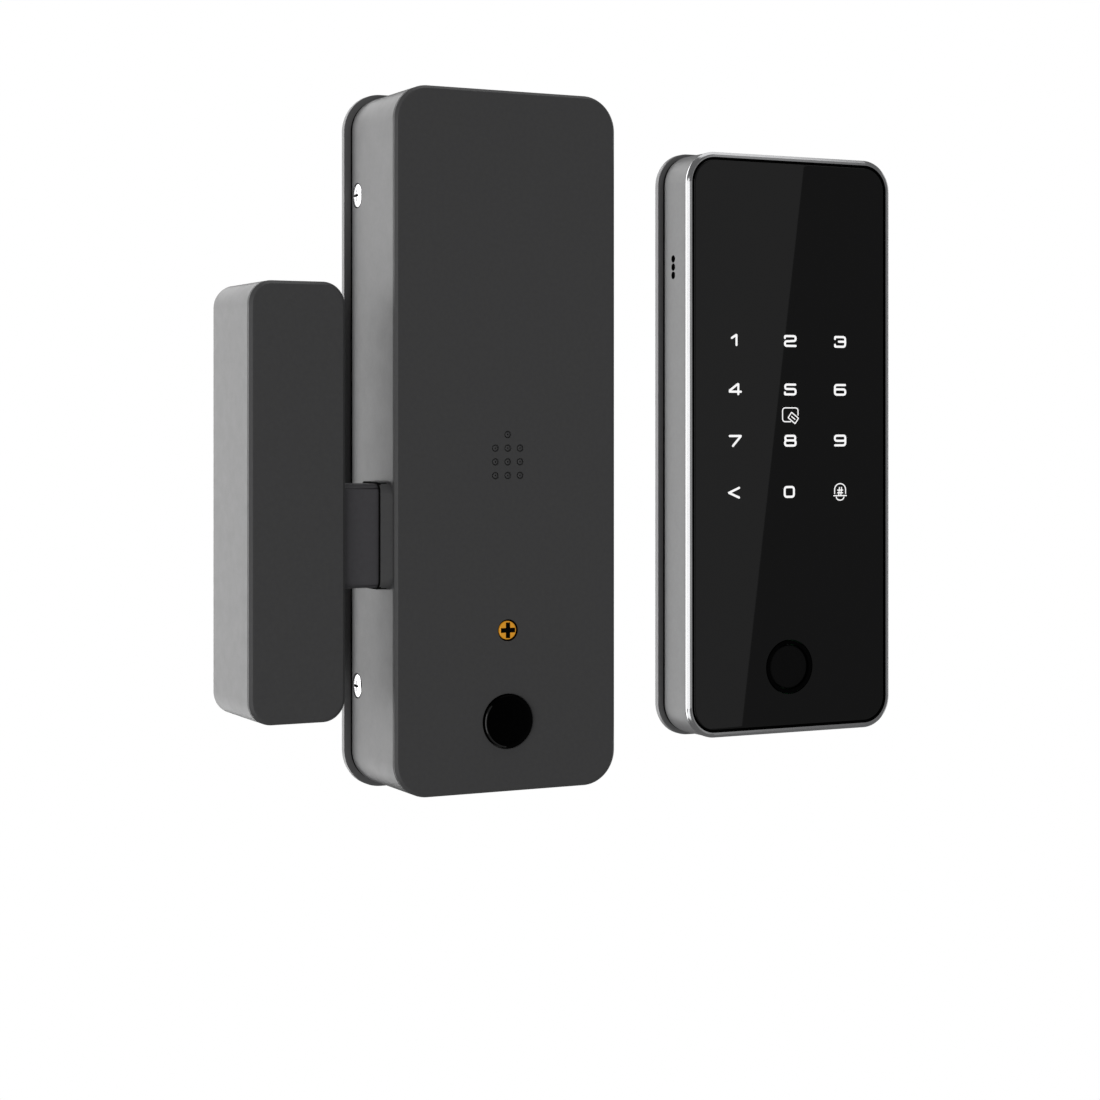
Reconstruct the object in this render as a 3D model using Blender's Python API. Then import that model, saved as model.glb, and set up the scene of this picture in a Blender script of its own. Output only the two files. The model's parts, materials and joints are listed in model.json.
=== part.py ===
"""Keypad smart lock: indoor lock body with a motor bolt, strike box and outdoor keypad.

Frame: X to the right, Y into the door (fronts face -Y), Z up. Y = 0 is the common mounting plane,
and the origin is the centre of the lock's back plate. Dimensions below are in millimetres.
"""
import math

import bmesh
import bpy

MM = 0.001
GAP = 0.3                     # air left between pieces that touch in the real lock
CORNER_STEPS = 7              # straight steps in each rounded corner

# Lock body
LOCK_W = 66.0
LOCK_H = 190.0
LOCK_R = 9.5
LOCK_FRONT = -34.5            # front plane of the cover
COVER_T = 1.3
COVER_BEVEL = 1.1
WALL = 2.0
PLATE_T = 2.0
PLATE_LIP = 1.7               # how far the back plate stands out beside the body
PLATE_LIP_END = 1.35          # the same above and below it
GASKET_T = 1.0
FLOOR_BACK = -11.3            # housing floor, cable space behind it
FLOOR_T = 1.5
SIDE_SCREW_Y = -7.45
SIDE_SCREW_Z = 67.4

# Bolt and gear train
BOLT_Z = -25.15
BOLT_H = 27.7
BOLT_FRONT = -30.5
BOLT_BACK = -18.5
BOLT_R = 2.1
BOLT_TIP = -55.65
BOLT_REAR = -23.6
BOSS_END = -36.25
BOSS_RIM = 0.75
BOSS_FLARE = 1.1
BOSS_FRONT = -30.9
BOSS_BACK = -17.4
RACK_END = 10.0
RACK_PITCH_Z = -27.0
RACK_MODULE = 1.0
RACK_TEETH = 16
WHEEL_MODULE = 0.8
WHEEL_TEETH = 30
PINION_TEETH = 12
GEAR_X = 5.5
PRESSURE_ANGLE = math.radians(25)
BACKLASH = 0.24
AXLE_R = 1.5
PINION_DX = -8.5              # motor pinion, left of the drive gear's axle

# Controls and electrics of the lock body
BUTTON_Z = -75.95
BUTTON_R = 7.15
BUTTON_RISE = 0.9             # button face in front of the cover
BUTTON_FLANGE = 0.9
STEM_R = 2.0
COVER_SCREW_Z = -51.3
COVER_HEAD_R = 2.7
COVER_SEAT_R = 3.0
COVER_SHANK_R = 1.35
POST_R = 3.4
SOUND_PITCH = 3.7
SOUND_TOP_Z = 1.75
SOUND_R = 0.95
CELL_R = 7.1
CELL_LENGTH = 50.5
CELL_PITCH = 14.6
CELL_Y = -24.6
CELL_BOTTOM = 35.5
CABLE_Z = -66.0
BOARD_FRONT = -15.8
BOARD_T = 1.6
PLATE_HOLE_DX = 20.0          # door screw holes of the back plate
PLATE_HOLE_DZ = 84.0
PLATE_HOLE_R = 2.25
LUG_T = 2.4
LUG_HALF = 6.0
SIDE_HEAD_R = 3.2
SIDE_SHANK_R = 1.25
SIDE_RECESS_R = 3.55
SIDE_RECESS = 0.7

# Strike box
STRIKE_X = -59.65
STRIKE_Z = -15.8
STRIKE_W = 26.6
STRIKE_H = 115.4
STRIKE_R = 6.2
STRIKE_FRONT = -33.0
STRIKE_BACK = -3.3
STRIKE_WALL = 1.8
STRIKE_FLOOR_T = 2.0
STRIKE_COVER_T = 1.3
MOUTH_EASE = 0.8              # room round the bolt in the strike
KEEPER_WALL = 3.0
STRIKE_PLATE_W = 21.0
STRIKE_PLATE_H = 108.0
STRIKE_HOLE_DZ = 25.0
STRIKE_SCREW_DZ = 42.0

# Keypad
PAD_X = 101.3
PAD_Z = -1.5
PAD_W = 70.6
PAD_H = 171.1
PAD_R = 9.2
PAD_FRONT = -17.2
PAD_LIP = 1.3                 # back plate beside the housing
PAD_LIP_END = 0.75            # back plate above and below it
PAD_BEVEL = 0.85
PAD_SIDE = 0.1                # the housing is this much narrower than the bezel on each side
PAD_BACK = -3.3               # rear edge of the keypad housing
PAD_FLOOR_T = 1.8
BEZEL_W = 1.5
BEZEL_SEAT = 1.2              # front rim to the shoulder that sits on the housing
BEZEL_SKIRT = 2.6
BEZEL_SKIRT_T = 1.2
GLASS_INSET = 2.3
GLASS_T = 0.6
GLASS_SINK = 0.1              # glass face behind the front rim
GLASS_TAPE = 0.25             # adhesive left out behind the glass
READER_X = PAD_X - 0.5
READER_Z = -67.5
READER_R = 7.8
READER_RING_W = 1.05
READER_DEPTH = 1.5
PAD_SCREW_DZ = 74.0
PAD_SCREW_R = 1.25
TOUCH_BACK = -13.1            # rear face of the touch board
TOUCH_T = 1.4
TOUCH_W = 56.0
ANTENNA_W = 50.0
ANTENNA_H = 66.0
ANTENNA_Z = 7.0
ANTENNA_BAND = 3.0
PAD_HOLE_DX = 22.0            # wall screw holes of the keypad plate
PAD_HOLE_DZ = 62.0
PAD_CABLE_Z = -30.0
SIDE_HOLE_Y = -8.5
SIDE_HOLE_Z = 53.0
SIDE_HOLE_PITCH = 2.4
SIDE_HOLE_R = 0.95

COLOURS = {
    "charcoal": ((0.042, 0.043, 0.045, 1), 0.42, 0.35),
    "steel": ((0.55, 0.55, 0.56, 1), 0.34, 1.0),
    "bright": ((0.78, 0.78, 0.80, 1), 0.2, 1.0),
    "brass": ((0.72, 0.42, 0.07, 1), 0.3, 1.0),
    "black_gloss": ((0.005, 0.005, 0.006, 1), 0.08, 0.0),
    "rubber": ((0.012, 0.012, 0.013, 1), 0.8, 0.0),
    "plastic": ((0.03, 0.03, 0.032, 1), 0.5, 0.0),
    "nylon": ((0.75, 0.73, 0.66, 1), 0.45, 0.0),
    "board": ((0.01, 0.12, 0.05, 1), 0.45, 0.0),
    "cell": ((0.08, 0.2, 0.45, 1), 0.3, 0.3),
    "copper": ((0.7, 0.32, 0.16, 1), 0.35, 1.0),
}


# ---------------------------------------------------------------- basic modelling tools

def clear_scene():
    for obj in list(bpy.data.objects):
        bpy.data.objects.remove(obj, do_unlink=True)


def material(name):
    found = bpy.data.materials.get(name)
    if found:
        return found
    colour, roughness, metallic = COLOURS[name]
    made = bpy.data.materials.new(name)
    made.use_nodes = True
    shader = made.node_tree.nodes["Principled BSDF"]
    shader.inputs["Base Color"].default_value = colour
    shader.inputs["Roughness"].default_value = roughness
    shader.inputs["Metallic"].default_value = metallic
    return made


def finish_mesh(name, mesh_maker, colour, location):
    """Turns a filled bmesh into an object whose origin is at location (mm)."""
    bmesh.ops.recalc_face_normals(mesh_maker, faces=mesh_maker.faces)
    mesh = bpy.data.meshes.new(name)
    mesh_maker.to_mesh(mesh)
    mesh_maker.free()
    mesh.shade_smooth()
    mesh.set_sharp_from_angle(angle=math.radians(30))
    obj = bpy.data.objects.new(name, mesh)
    bpy.context.scene.collection.objects.link(obj)
    obj.location = [value * MM for value in location]
    mesh.materials.append(material(colour))
    return obj


def rounded(width, height, radius, steps=CORNER_STEPS):
    """Outline of a rounded rectangle about the origin, anticlockwise."""
    points = []
    corners = ((1, 1, 0), (-1, 1, 90), (-1, -1, 180), (1, -1, 270))
    for sx, sz, start in corners:
        cx = sx * (width / 2 - radius)
        cz = sz * (height / 2 - radius)
        for step in range(steps + 1):
            angle = math.radians(start + 90 * step / steps)
            points.append((cx + radius * math.cos(angle), cz + radius * math.sin(angle)))
    return points


def circle(radius, steps):
    angles = [2 * math.pi * step / steps for step in range(steps)]
    return [(radius * math.cos(angle), radius * math.sin(angle)) for angle in angles]


def at_y(outline, y, centre=(0, 0)):
    return [(x + centre[0], y, z + centre[1]) for x, z in outline]


def at_x(outline, x, centre=(0, 0)):
    return [(x, y + centre[0], z + centre[1]) for y, z in outline]


def at_z(outline, z):
    return [(x, y, z) for x, y in outline]


def loft(name, rings, colour, location=(0, 0, 0), loop=False):
    """Skins rings of equal point counts; the ends are capped unless the rings close in a loop."""
    maker = bmesh.new()
    rows = []
    for ring in rings:
        rows.append([maker.verts.new([value * MM for value in point]) for point in ring])
    pairs = list(zip(rows, rows[1:]))
    if loop:
        pairs.append((rows[-1], rows[0]))
    else:
        maker.faces.new(rows[0])
        maker.faces.new(rows[-1])
    count = len(rows[0])
    for low, high in pairs:
        for index in range(count):
            after = (index + 1) % count
            maker.faces.new((low[index], low[after], high[after], high[index]))
    return finish_mesh(name, maker, colour, location)


def block(name, low, high, colour, bevel=0.0):
    """Box between two corners, its origin at its centre."""
    centre = [(a + b) / 2 for a, b in zip(low, high)]
    size = [b - a for a, b in zip(low, high)]
    ring = [(size[0] / 2, size[2] / 2), (-size[0] / 2, size[2] / 2)]
    ring += [(-size[0] / 2, -size[2] / 2), (size[0] / 2, -size[2] / 2)]
    obj = loft(name, [at_y(ring, -size[1] / 2), at_y(ring, size[1] / 2)], colour, centre)
    if bevel:
        soften(obj, bevel)
    return obj


def soften(obj, width, segments=1):
    bevel = obj.modifiers.new("Bevel", "BEVEL")
    bevel.width = width * MM
    bevel.segments = segments
    bevel.limit_method = "ANGLE"
    bevel.angle_limit = math.radians(40)


def turned(name, profile, colour, location=(0, 0, 0), axis="Y", steps=20):
    """Solid of revolution: profile holds (position along the axis, radius) pairs."""
    place = {"X": lambda ring, at: at_x(ring, at),
             "Y": lambda ring, at: at_y(ring, at),
             "Z": lambda ring, at: at_z(ring, at)}[axis]
    rings = [place(circle(radius, steps), position) for position, radius in profile]
    return loft(name, rings, colour, location)


def hide_tool(tool):
    tool.hide_render = True
    tool.display_type = "WIRE"


def boolean(obj, tool, operation):
    hide_tool(tool)
    modifier = obj.modifiers.new(operation.title(), "BOOLEAN")
    modifier.operation = operation
    modifier.solver = "EXACT"
    modifier.object = tool


def cut(obj, tool):
    boolean(obj, tool, "DIFFERENCE")


def fuse(obj, tool):
    boolean(obj, tool, "UNION")


def hole_y(obj, x, z, radius, y_low, y_high, steps=16):
    tool = turned(obj.name + "_hole", [(y_low, radius), (y_high, radius)], "steel",
                  (x, 0, z), "Y", steps)
    cut(obj, tool)


def hole_x(obj, y, z, radius, x_low, x_high, steps=16):
    tool = turned(obj.name + "_hole", [(x_low, radius), (x_high, radius)], "steel",
                  (0, y, z), "X", steps)
    cut(obj, tool)


def slot_y(obj, x, z, width, height, y_low, y_high, radius=1.0):
    outline = rounded(width, height, radius, 3)
    tool = loft(obj.name + "_slot", [at_y(outline, y_low), at_y(outline, y_high)], "steel", (x, 0, z))
    cut(obj, tool)


def inset(width, height, radius, amount):
    """Rounded outline drawn inside another one at a constant distance."""
    return rounded(width - 2 * amount, height - 2 * amount, max(radius - amount, 0.4))


# ---------------------------------------------------------------- shells shared by the units

def plate(name, width, height, radius, y_front, y_back, colour, centre, bevel):
    """Flat plate with a bevelled front edge."""
    rings = [at_y(inset(width, height, radius, bevel), y_front),
             at_y(rounded(width, height, radius), y_front + bevel),
             at_y(rounded(width, height, radius), y_back)]
    return loft(name, rings, colour, (centre[0], 0, centre[1]))


def gasket(name, width, height, radius, y_front, y_back, centre, band=3.0):
    rings = [at_y(rounded(width, height, radius), y_front),
             at_y(rounded(width, height, radius), y_back),
             at_y(inset(width, height, radius, band), y_back),
             at_y(inset(width, height, radius, band), y_front)]
    return loft(name, rings, "rubber", (centre[0], 0, centre[1]), loop=True)


def tray(name, width, height, radius, wall, y_front, y_back, floor_front, floor_back, centre):
    """Shell with side walls and a floor; the floor may stand in from the back edge."""
    chamfer = 0.25
    outer = rounded(width, height, radius)
    inner = inset(width, height, radius, wall)
    rings = [at_y(inner, floor_front),
             at_y(inner, y_front),
             at_y(inset(width, height, radius, chamfer), y_front),
             at_y(outer, y_front + chamfer),
             at_y(outer, y_back)]
    if floor_back < y_back:
        rings += [at_y(inner, y_back), at_y(inner, floor_back)]
    return loft(name, rings, "charcoal", (centre[0], 0, centre[1]))


def cross_recess(screw, centre, axis, arm, width, depth_low, depth_high):
    """Cuts a cross-head recess with two crossing bars."""
    for index, size in enumerate(((arm, width), (width, arm))):
        half = [value / 2 for value in size]
        if axis == "Y":
            low = (centre[0] - half[0], depth_low, centre[2] - half[1])
            high = (centre[0] + half[0], depth_high, centre[2] + half[1])
        else:
            low = (depth_low, centre[1] - half[0], centre[2] - half[1])
            high = (depth_high, centre[1] + half[0], centre[2] + half[1])
        cut(screw, block(screw.name + "_cross_" + str(index), low, high, "steel"))


# ---------------------------------------------------------------- lock body: shells and plates

def lock_back_plate():
    width = LOCK_W + 2 * PLATE_LIP
    height = LOCK_H + 2 * PLATE_LIP_END
    made = plate("lock_back_plate", width, height, LOCK_R + PLATE_LIP, -PLATE_T, 0, "charcoal", (0, 0), 0.3)
    lug_outer = LOCK_W / 2 - WALL - GAP
    for side in (-1, 1):
        for end in (-1, 1):
            edges = sorted((side * lug_outer, side * (lug_outer - LUG_T)))
            low = (edges[0], FLOOR_BACK + 0.5, end * SIDE_SCREW_Z - LUG_HALF)
            high = (edges[1], -PLATE_T + 0.5, end * SIDE_SCREW_Z + LUG_HALF)
            fuse(made, block("plate_lug", low, high, "charcoal"))
            hole_x(made, SIDE_SCREW_Y, end * SIDE_SCREW_Z, 1.55, edges[0] - 1, edges[1] + 1, 12)
            hole_y(made, side * PLATE_HOLE_DX, end * PLATE_HOLE_DZ, PLATE_HOLE_R, -PLATE_T - 1, 1)
    slot_y(made, 0, CABLE_Z, 18, 12, -PLATE_T - 1, 1, 2)
    return made


def lock_gasket():
    back = -PLATE_T - GAP
    front = back - GASKET_T
    return gasket("lock_gasket", LOCK_W - 1.6, LOCK_H - 1.6, LOCK_R - 0.8, front, back, (0, 0), 1.2)


def bolt_boss():
    """Fairing that swells out of the left wall round the bolt."""
    wall_x = -LOCK_W / 2
    rings = []
    steps = 6
    for step in range(steps + 1):
        part = step / steps
        x = wall_x + (BOSS_END - wall_x) * part
        spread = (1 - part) ** 2
        front = BOSS_FRONT + (LOCK_FRONT + COVER_T + GAP - BOSS_FRONT) * (1 - part)
        back = BOSS_BACK + BOSS_FLARE * spread
        half = BOLT_H / 2 + BOSS_RIM
        outline = rounded(back - front, 2 * half, BOLT_R + GAP, 4)
        rings.append(at_x(outline, x, ((front + back) / 2, BOLT_Z)))
    root = rings[0]
    rings.insert(0, [(wall_x + 1, y, z) for x, y, z in root])
    return loft("bolt_boss", rings, "charcoal")


def bolt_passage(name, x_low, x_high, clearance):
    depth = BOLT_BACK - BOLT_FRONT + 2 * clearance
    outline = rounded(depth, BOLT_H + 2 * clearance, BOLT_R + clearance, 4)
    centre = ((BOLT_FRONT + BOLT_BACK) / 2, BOLT_Z)
    return loft(name, [at_x(outline, x_low, centre), at_x(outline, x_high, centre)], "steel")


def lock_housing():
    back = -PLATE_T - 2 * GAP - GASKET_T
    front = LOCK_FRONT + COVER_T + GAP
    made = tray("lock_housing", LOCK_W, LOCK_H, LOCK_R, WALL, front, back,
                FLOOR_BACK - FLOOR_T, FLOOR_BACK, (0, 0))
    fuse(made, bolt_boss())
    cut(made, bolt_passage("bolt_passage", BOSS_END - 1, -LOCK_W / 2 + WALL + 1, GAP))
    post = turned("cover_post", [(front + 0.6, POST_R), (FLOOR_BACK - 0.5, POST_R)], "charcoal",
                  (0, 0, COVER_SCREW_Z), "Y", 16)
    fuse(made, post)
    hole_y(made, 0, COVER_SCREW_Z, 1.6, front - 1, -20, 12)
    slot_y(made, 0, CABLE_Z, 15, 9, FLOOR_BACK - FLOOR_T - 1, FLOOR_BACK + 1, 1.5)
    for side in (-1, 1):
        for end in (-1, 1):
            face = side * LOCK_W / 2
            edges = sorted((face + side, face - side * (WALL + 1)))
            hole_x(made, SIDE_SCREW_Y, end * SIDE_SCREW_Z, 1.6, edges[0], edges[1], 12)
            recess = sorted((face + side, face - side * SIDE_RECESS))
            hole_x(made, SIDE_SCREW_Y, end * SIDE_SCREW_Z, SIDE_RECESS_R, recess[0], recess[1], 20)
    return made


def lock_front_cover():
    made = plate("lock_front_cover", LOCK_W, LOCK_H, LOCK_R, LOCK_FRONT, LOCK_FRONT + COVER_T,
                 "charcoal", (0, 0), COVER_BEVEL)
    rib_out = inset(LOCK_W, LOCK_H, LOCK_R, WALL + GAP)
    rib_in = inset(LOCK_W, LOCK_H, LOCK_R, WALL + GAP + 0.8)
    low = LOCK_FRONT + COVER_T - 0.4
    rib = loft("cover_rib", [at_y(rib_out, low), at_y(rib_out, low + 1.2), at_y(rib_in, low + 1.2),
                             at_y(rib_in, low)], "charcoal", loop=True)
    cut(rib, block("rib_gap", (-LOCK_W, low - 1, BOLT_Z - 17), (-20, low + 3, BOLT_Z + 17), "steel"))
    fuse(made, rib)
    hole_y(made, 0, BUTTON_Z, BUTTON_R + 0.3, LOCK_FRONT - 1, LOCK_FRONT + COVER_T + 1, 32)
    hole_y(made, 0, COVER_SCREW_Z, COVER_SEAT_R, LOCK_FRONT - 1, LOCK_FRONT + COVER_T - 0.3, 20)
    hole_y(made, 0, COVER_SCREW_Z, 1.75, LOCK_FRONT - 1, LOCK_FRONT + COVER_T + 1, 12)
    for column, row in sound_grid():
        hole_y(made, column * SOUND_PITCH, SOUND_TOP_Z - row * SOUND_PITCH, SOUND_R,
               LOCK_FRONT - 1, LOCK_FRONT + 0.6, 8)
    return made


def sound_grid():
    """One hole on top of three rows of three."""
    return [(0, 0)] + [(column, row) for row in (1, 2, 3) for column in (-1, 0, 1)]


def side_screw(name, side, end):
    face = side * LOCK_W / 2
    inward = -side
    profile = [(face + inward * 0.9 - inward * 1.5, 1.9),
               (face + inward * 0.9 - inward * 1.2, 2.8),
               (face + inward * 0.9 - inward * 0.75, SIDE_HEAD_R),
               (face + inward * 0.4, SIDE_HEAD_R),
               (face + inward * 0.4, SIDE_SHANK_R),
               (face + inward * 5.6, SIDE_SHANK_R)]
    made = turned(name, profile, "bright", (0, SIDE_SCREW_Y, end * SIDE_SCREW_Z), "X", 20)
    recess = sorted((face - inward * 2, face + inward * 0.1))
    cross_recess(made, (0, SIDE_SCREW_Y, end * SIDE_SCREW_Z), "X", 3.4, 0.8, recess[0], recess[1])
    return made


def housing_screws():
    names = {(-1, 1): "housing_screw_left_upper", (-1, -1): "housing_screw_left_lower",
             (1, 1): "housing_screw_right_upper", (1, -1): "housing_screw_right_lower"}
    for (side, end), name in names.items():
        side_screw(name, side, end)


def cover_screw():
    face = LOCK_FRONT
    profile = [(face - 0.05, COVER_HEAD_R - 0.4), (face + 0.1, COVER_HEAD_R - 0.1),
               (face + 0.25, COVER_HEAD_R), (face + 0.7, COVER_HEAD_R),
               (face + 0.7, COVER_SHANK_R), (face + 11, COVER_SHANK_R)]
    made = turned("cover_screw", profile, "brass", (0, 0, COVER_SCREW_Z), "Y", 20)
    cross_recess(made, (0, 0, COVER_SCREW_Z), "Y", 4.2, 1.0, face - 1, face + 0.45)
    return made


def unlock_button():
    """Round push button with a retaining flange behind the cover and a stem towards the switch."""
    top = LOCK_FRONT - BUTTON_RISE
    back = LOCK_FRONT + COVER_T
    profile = [(top, BUTTON_R - 1.0), (top + 0.15, BUTTON_R - 0.5), (top + 0.5, BUTTON_R - 0.12),
               (top + 1.0, BUTTON_R), (back + GAP, BUTTON_R), (back + GAP, BUTTON_R + BUTTON_FLANGE),
               (back + GAP + 1.0, BUTTON_R + BUTTON_FLANGE), (back + GAP + 1.0, STEM_R),
               (back + 12.0, STEM_R)]
    return turned("unlock_button", profile, "black_gloss", (0, 0, BUTTON_Z), "Y", 28)


# ---------------------------------------------------------------- lock body: bolt and gear train

def gear_outline(teeth, module, phase):
    """Involute teeth; phase is the direction in radians of one tooth's centre."""
    pitch_r = teeth * module / 2
    base_r = pitch_r * math.cos(PRESSURE_ANGLE)
    outer_r = pitch_r + 0.85 * module
    root_r = pitch_r - 1.15 * module
    half_pitch = (math.pi * module / 2 - BACKLASH) / 2 / pitch_r
    pitch_roll = math.tan(PRESSURE_ANGLE) - PRESSURE_ANGLE
    start_r = max(base_r, root_r)
    flank = []
    for step in range(3):
        radius = start_r + (outer_r - start_r) * step / 2
        angle = math.acos(min(base_r / radius, 1))
        flank.append((radius, half_pitch + pitch_roll - (math.tan(angle) - angle)))
    points = []
    for tooth in range(teeth):
        centre = phase + 2 * math.pi * tooth / teeth
        row = [(root_r, -flank[0][1])] + [(radius, -half) for radius, half in flank]
        row += [(radius, half) for radius, half in reversed(flank)] + [(root_r, flank[0][1])]
        points += [(radius * math.cos(centre + turn), radius * math.sin(centre + turn))
                   for radius, turn in row]
    return points


def rack_outline():
    """Bolt tail seen from the front: a bar with straight-sided teeth along its top."""
    slope = math.tan(PRESSURE_ANGLE)
    pitch = math.pi * RACK_MODULE
    tip_z = RACK_PITCH_Z + 0.85 * RACK_MODULE
    root_z = RACK_PITCH_Z - 1.15 * RACK_MODULE
    half = (pitch / 2 - BACKLASH) / 2
    half_tip = half - 0.85 * RACK_MODULE * slope
    half_root = half + 1.15 * RACK_MODULE * slope
    points = [(RACK_END, root_z), (RACK_END, BOLT_Z - BOLT_H / 2 + 0.4)]
    points += [(BOLT_REAR - 1.5, BOLT_Z - BOLT_H / 2 + 0.4), (BOLT_REAR - 1.5, root_z)]
    for tooth in range(-9, 2):
        centre = GEAR_X + tooth * pitch
        if centre - half_root < BOLT_REAR + 0.2 or centre + half_root > RACK_END:
            continue
        points += [(centre - half_root, root_z), (centre - half_tip, tip_z),
                   (centre + half_tip, tip_z), (centre + half_root, root_z)]
    return points


def latch_bolt():
    outline = rounded(BOLT_BACK - BOLT_FRONT, BOLT_H, BOLT_R, 4)
    tip = rounded(BOLT_BACK - BOLT_FRONT - 2, BOLT_H - 2, BOLT_R, 4)
    centre = ((BOLT_FRONT + BOLT_BACK) / 2, BOLT_Z)
    made = loft("latch_bolt", [at_x(tip, BOLT_TIP, centre), at_x(outline, BOLT_TIP + 1, centre),
                               at_x(outline, BOLT_REAR, centre)], "charcoal")
    tail = loft("bolt_tail", [at_y(rack_outline(), -28), at_y(rack_outline(), -21)], "steel")
    fuse(made, tail)
    return made


def gear_centre():
    return (GEAR_X, 0, RACK_PITCH_Z + RACK_TEETH * RACK_MODULE / 2)


def pinion_centre():
    distance = (WHEEL_TEETH + PINION_TEETH) * WHEEL_MODULE / 2
    gear = gear_centre()
    return (gear[0] + PINION_DX, 0, gear[2] + math.sqrt(distance ** 2 - PINION_DX ** 2))


def drive_gear():
    """Compound gear: the wheel takes the motor's pinion, the small gear drives the rack."""
    gear = gear_centre()
    pinion = pinion_centre()
    towards = math.atan2(pinion[2] - gear[2], pinion[0] - gear[0])
    wheel = gear_outline(WHEEL_TEETH, WHEEL_MODULE, towards)
    made = loft("drive_gear", [at_y(wheel, -17.9), at_y(wheel, -14.9)], "nylon", gear)
    fuse(made, turned("gear_hub", [(-21.6, 5.5), (-16, 5.5)], "nylon", gear, "Y", 20))
    space_down = -math.pi / 2 + math.pi / RACK_TEETH
    small = gear_outline(RACK_TEETH, RACK_MODULE, space_down)
    fuse(made, loft("gear_small", [at_y(small, -27.7), at_y(small, -21.3)], "nylon", gear))
    cut(made, turned("gear_bore", [(-30, AXLE_R + 0.1), (-12, AXLE_R + 0.1)], "steel", gear, "Y", 20))
    return made


def gear_axle():
    profile = [(-29.6, 1.2), (-29.3, AXLE_R), (-14.45, AXLE_R)]
    return turned("gear_axle", profile, "steel", gear_centre(), "Y", 20)


def motor_pinion():
    gear = gear_centre()
    pinion = pinion_centre()
    back = math.atan2(gear[2] - pinion[2], gear[0] - pinion[0])
    outline = gear_outline(PINION_TEETH, WHEEL_MODULE, back + math.pi / PINION_TEETH)
    made = loft("motor_pinion", [at_y(outline, -18.0), at_y(outline, -14.8)], "bright", pinion)
    cut(made, turned("pinion_bore", [(-19, 1.1), (-14, 1.1)], "steel", pinion, "Y", 16))
    return made


def gear_motor():
    """Right-angle gear motor: gearbox with its shaft to the rear, motor can pointing up."""
    x, _, z = pinion_centre()
    made = block("gear_motor", (x - 6.7, -28.4, z - 4.7), (x + 7.3, -18.6, z + 16.5), "steel", 0.5)
    can = turned("motor_can", [(z + 16, 5.6), (z + 33, 5.6), (z + 33.6, 5.0)], "steel",
                 (x, -23.5, 0), "Z", 24)
    fuse(made, can)
    fuse(made, turned("motor_shaft", [(-19, 1.0), (-14.5, 1.0)], "steel", (x, 0, z), "Y", 16))
    return made


def motor_strap():
    """Spring-steel strap that holds the motor can down on the mechanism plate."""
    x, _, z = pinion_centre()
    low = z + 22
    high = z + 28
    front = -30.4
    made = block("motor_strap", (x - 7.1, front, low), (x + 7.1, -14.4, high), "steel")
    cut(made, block("strap_hollow", (x - 6.1, front + 1, low - 1), (x + 6.1, -13, high + 1), "steel"))
    for side in (-1, 1):
        edges = sorted((x + side * 6.6, x + side * 11.5))
        fuse(made, block("strap_foot", (edges[0], -15.4, low), (edges[1], -14.4, high), "steel"))
    return made


def mechanism_plate():
    back = FLOOR_BACK - FLOOR_T - GAP
    made = block("mechanism_plate", (-29.5, back - 1, -46), (29.5, back, 31), "steel", 0.2)
    for x in (-26, 26):
        for z in (-2, 27):
            hole_y(made, x, z, 1.6, back - 2, back + 1, 12)
    return made


def bolt_guides():
    top = BOLT_Z + BOLT_H / 2 + GAP
    bottom = BOLT_Z - BOLT_H / 2 - GAP
    inner = -LOCK_W / 2 + WALL + GAP
    front = BOLT_FRONT - 0.9
    back = FLOOR_BACK - FLOOR_T - GAP - 1.3
    block("bolt_guide_upper", (inner, front, top), (-10, back, top + 4.6), "nylon", 0.3)
    block("bolt_guide_lower", (inner, front, bottom - 4), (24, back, bottom), "nylon", 0.3)


# ---------------------------------------------------------------- lock body: electrics

def control_board():
    back = BOARD_FRONT + BOARD_T
    made = block("control_board", (-27, BOARD_FRONT, -90), (27, back, -57), "board")
    chips = ((-16, -66, 9, 9, 1.4), (15, -64, 8, 5, 2.0), (17, -80, 6, 8, 2.6), (-18, -82, 5, 5, 1.8))
    for x, z, width, height, thick in chips:
        low = (x - width / 2, BOARD_FRONT - thick, z - height / 2)
        high = (x + width / 2, BOARD_FRONT + 0.4, z + height / 2)
        fuse(made, block("board_part", low, high, "plastic"))
    return made


def button_switch():
    low = (-3, BOARD_FRONT - 3.8, BUTTON_Z - 3)
    high = (3, BOARD_FRONT - GAP, BUTTON_Z + 3)
    return block("button_switch", low, high, "plastic", 0.3)


def cable_sockets():
    front = BOARD_FRONT + BOARD_T + GAP
    block("lock_cable_socket", (-5.5, front, CABLE_Z - 3), (5.5, -8.2, CABLE_Z + 3), "nylon", 0.3)
    low = (PAD_X - 5, -12.8, PAD_CABLE_Z - 3)
    block("keypad_cable_socket", low, (PAD_X + 5, -7.0, PAD_CABLE_Z + 3), "nylon", 0.3)


def buzzer():
    back = LOCK_FRONT + COVER_T + GAP
    profile = [(back, 8.5), (back + 2.6, 8.5), (back + 3.0, 8.1)]
    return turned("buzzer", profile, "plastic", (0, 0, SOUND_TOP_Z - 1.5 * SOUND_PITCH), "Y", 24)


def cell_x(index):
    return (index - 1.5) * CELL_PITCH


def batteries():
    for index in range(4):
        bottom = CELL_BOTTOM
        top = bottom + CELL_LENGTH
        profile = [(bottom, CELL_R - 0.6), (bottom + 0.5, CELL_R), (top - 1.6, CELL_R),
                   (top - 1.1, CELL_R - 0.6), (top - 1.1, 2.7), (top, 2.5)]
        turned("battery_" + str(index + 1), profile, "cell", (cell_x(index), CELL_Y, 0), "Z", 20)


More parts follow.
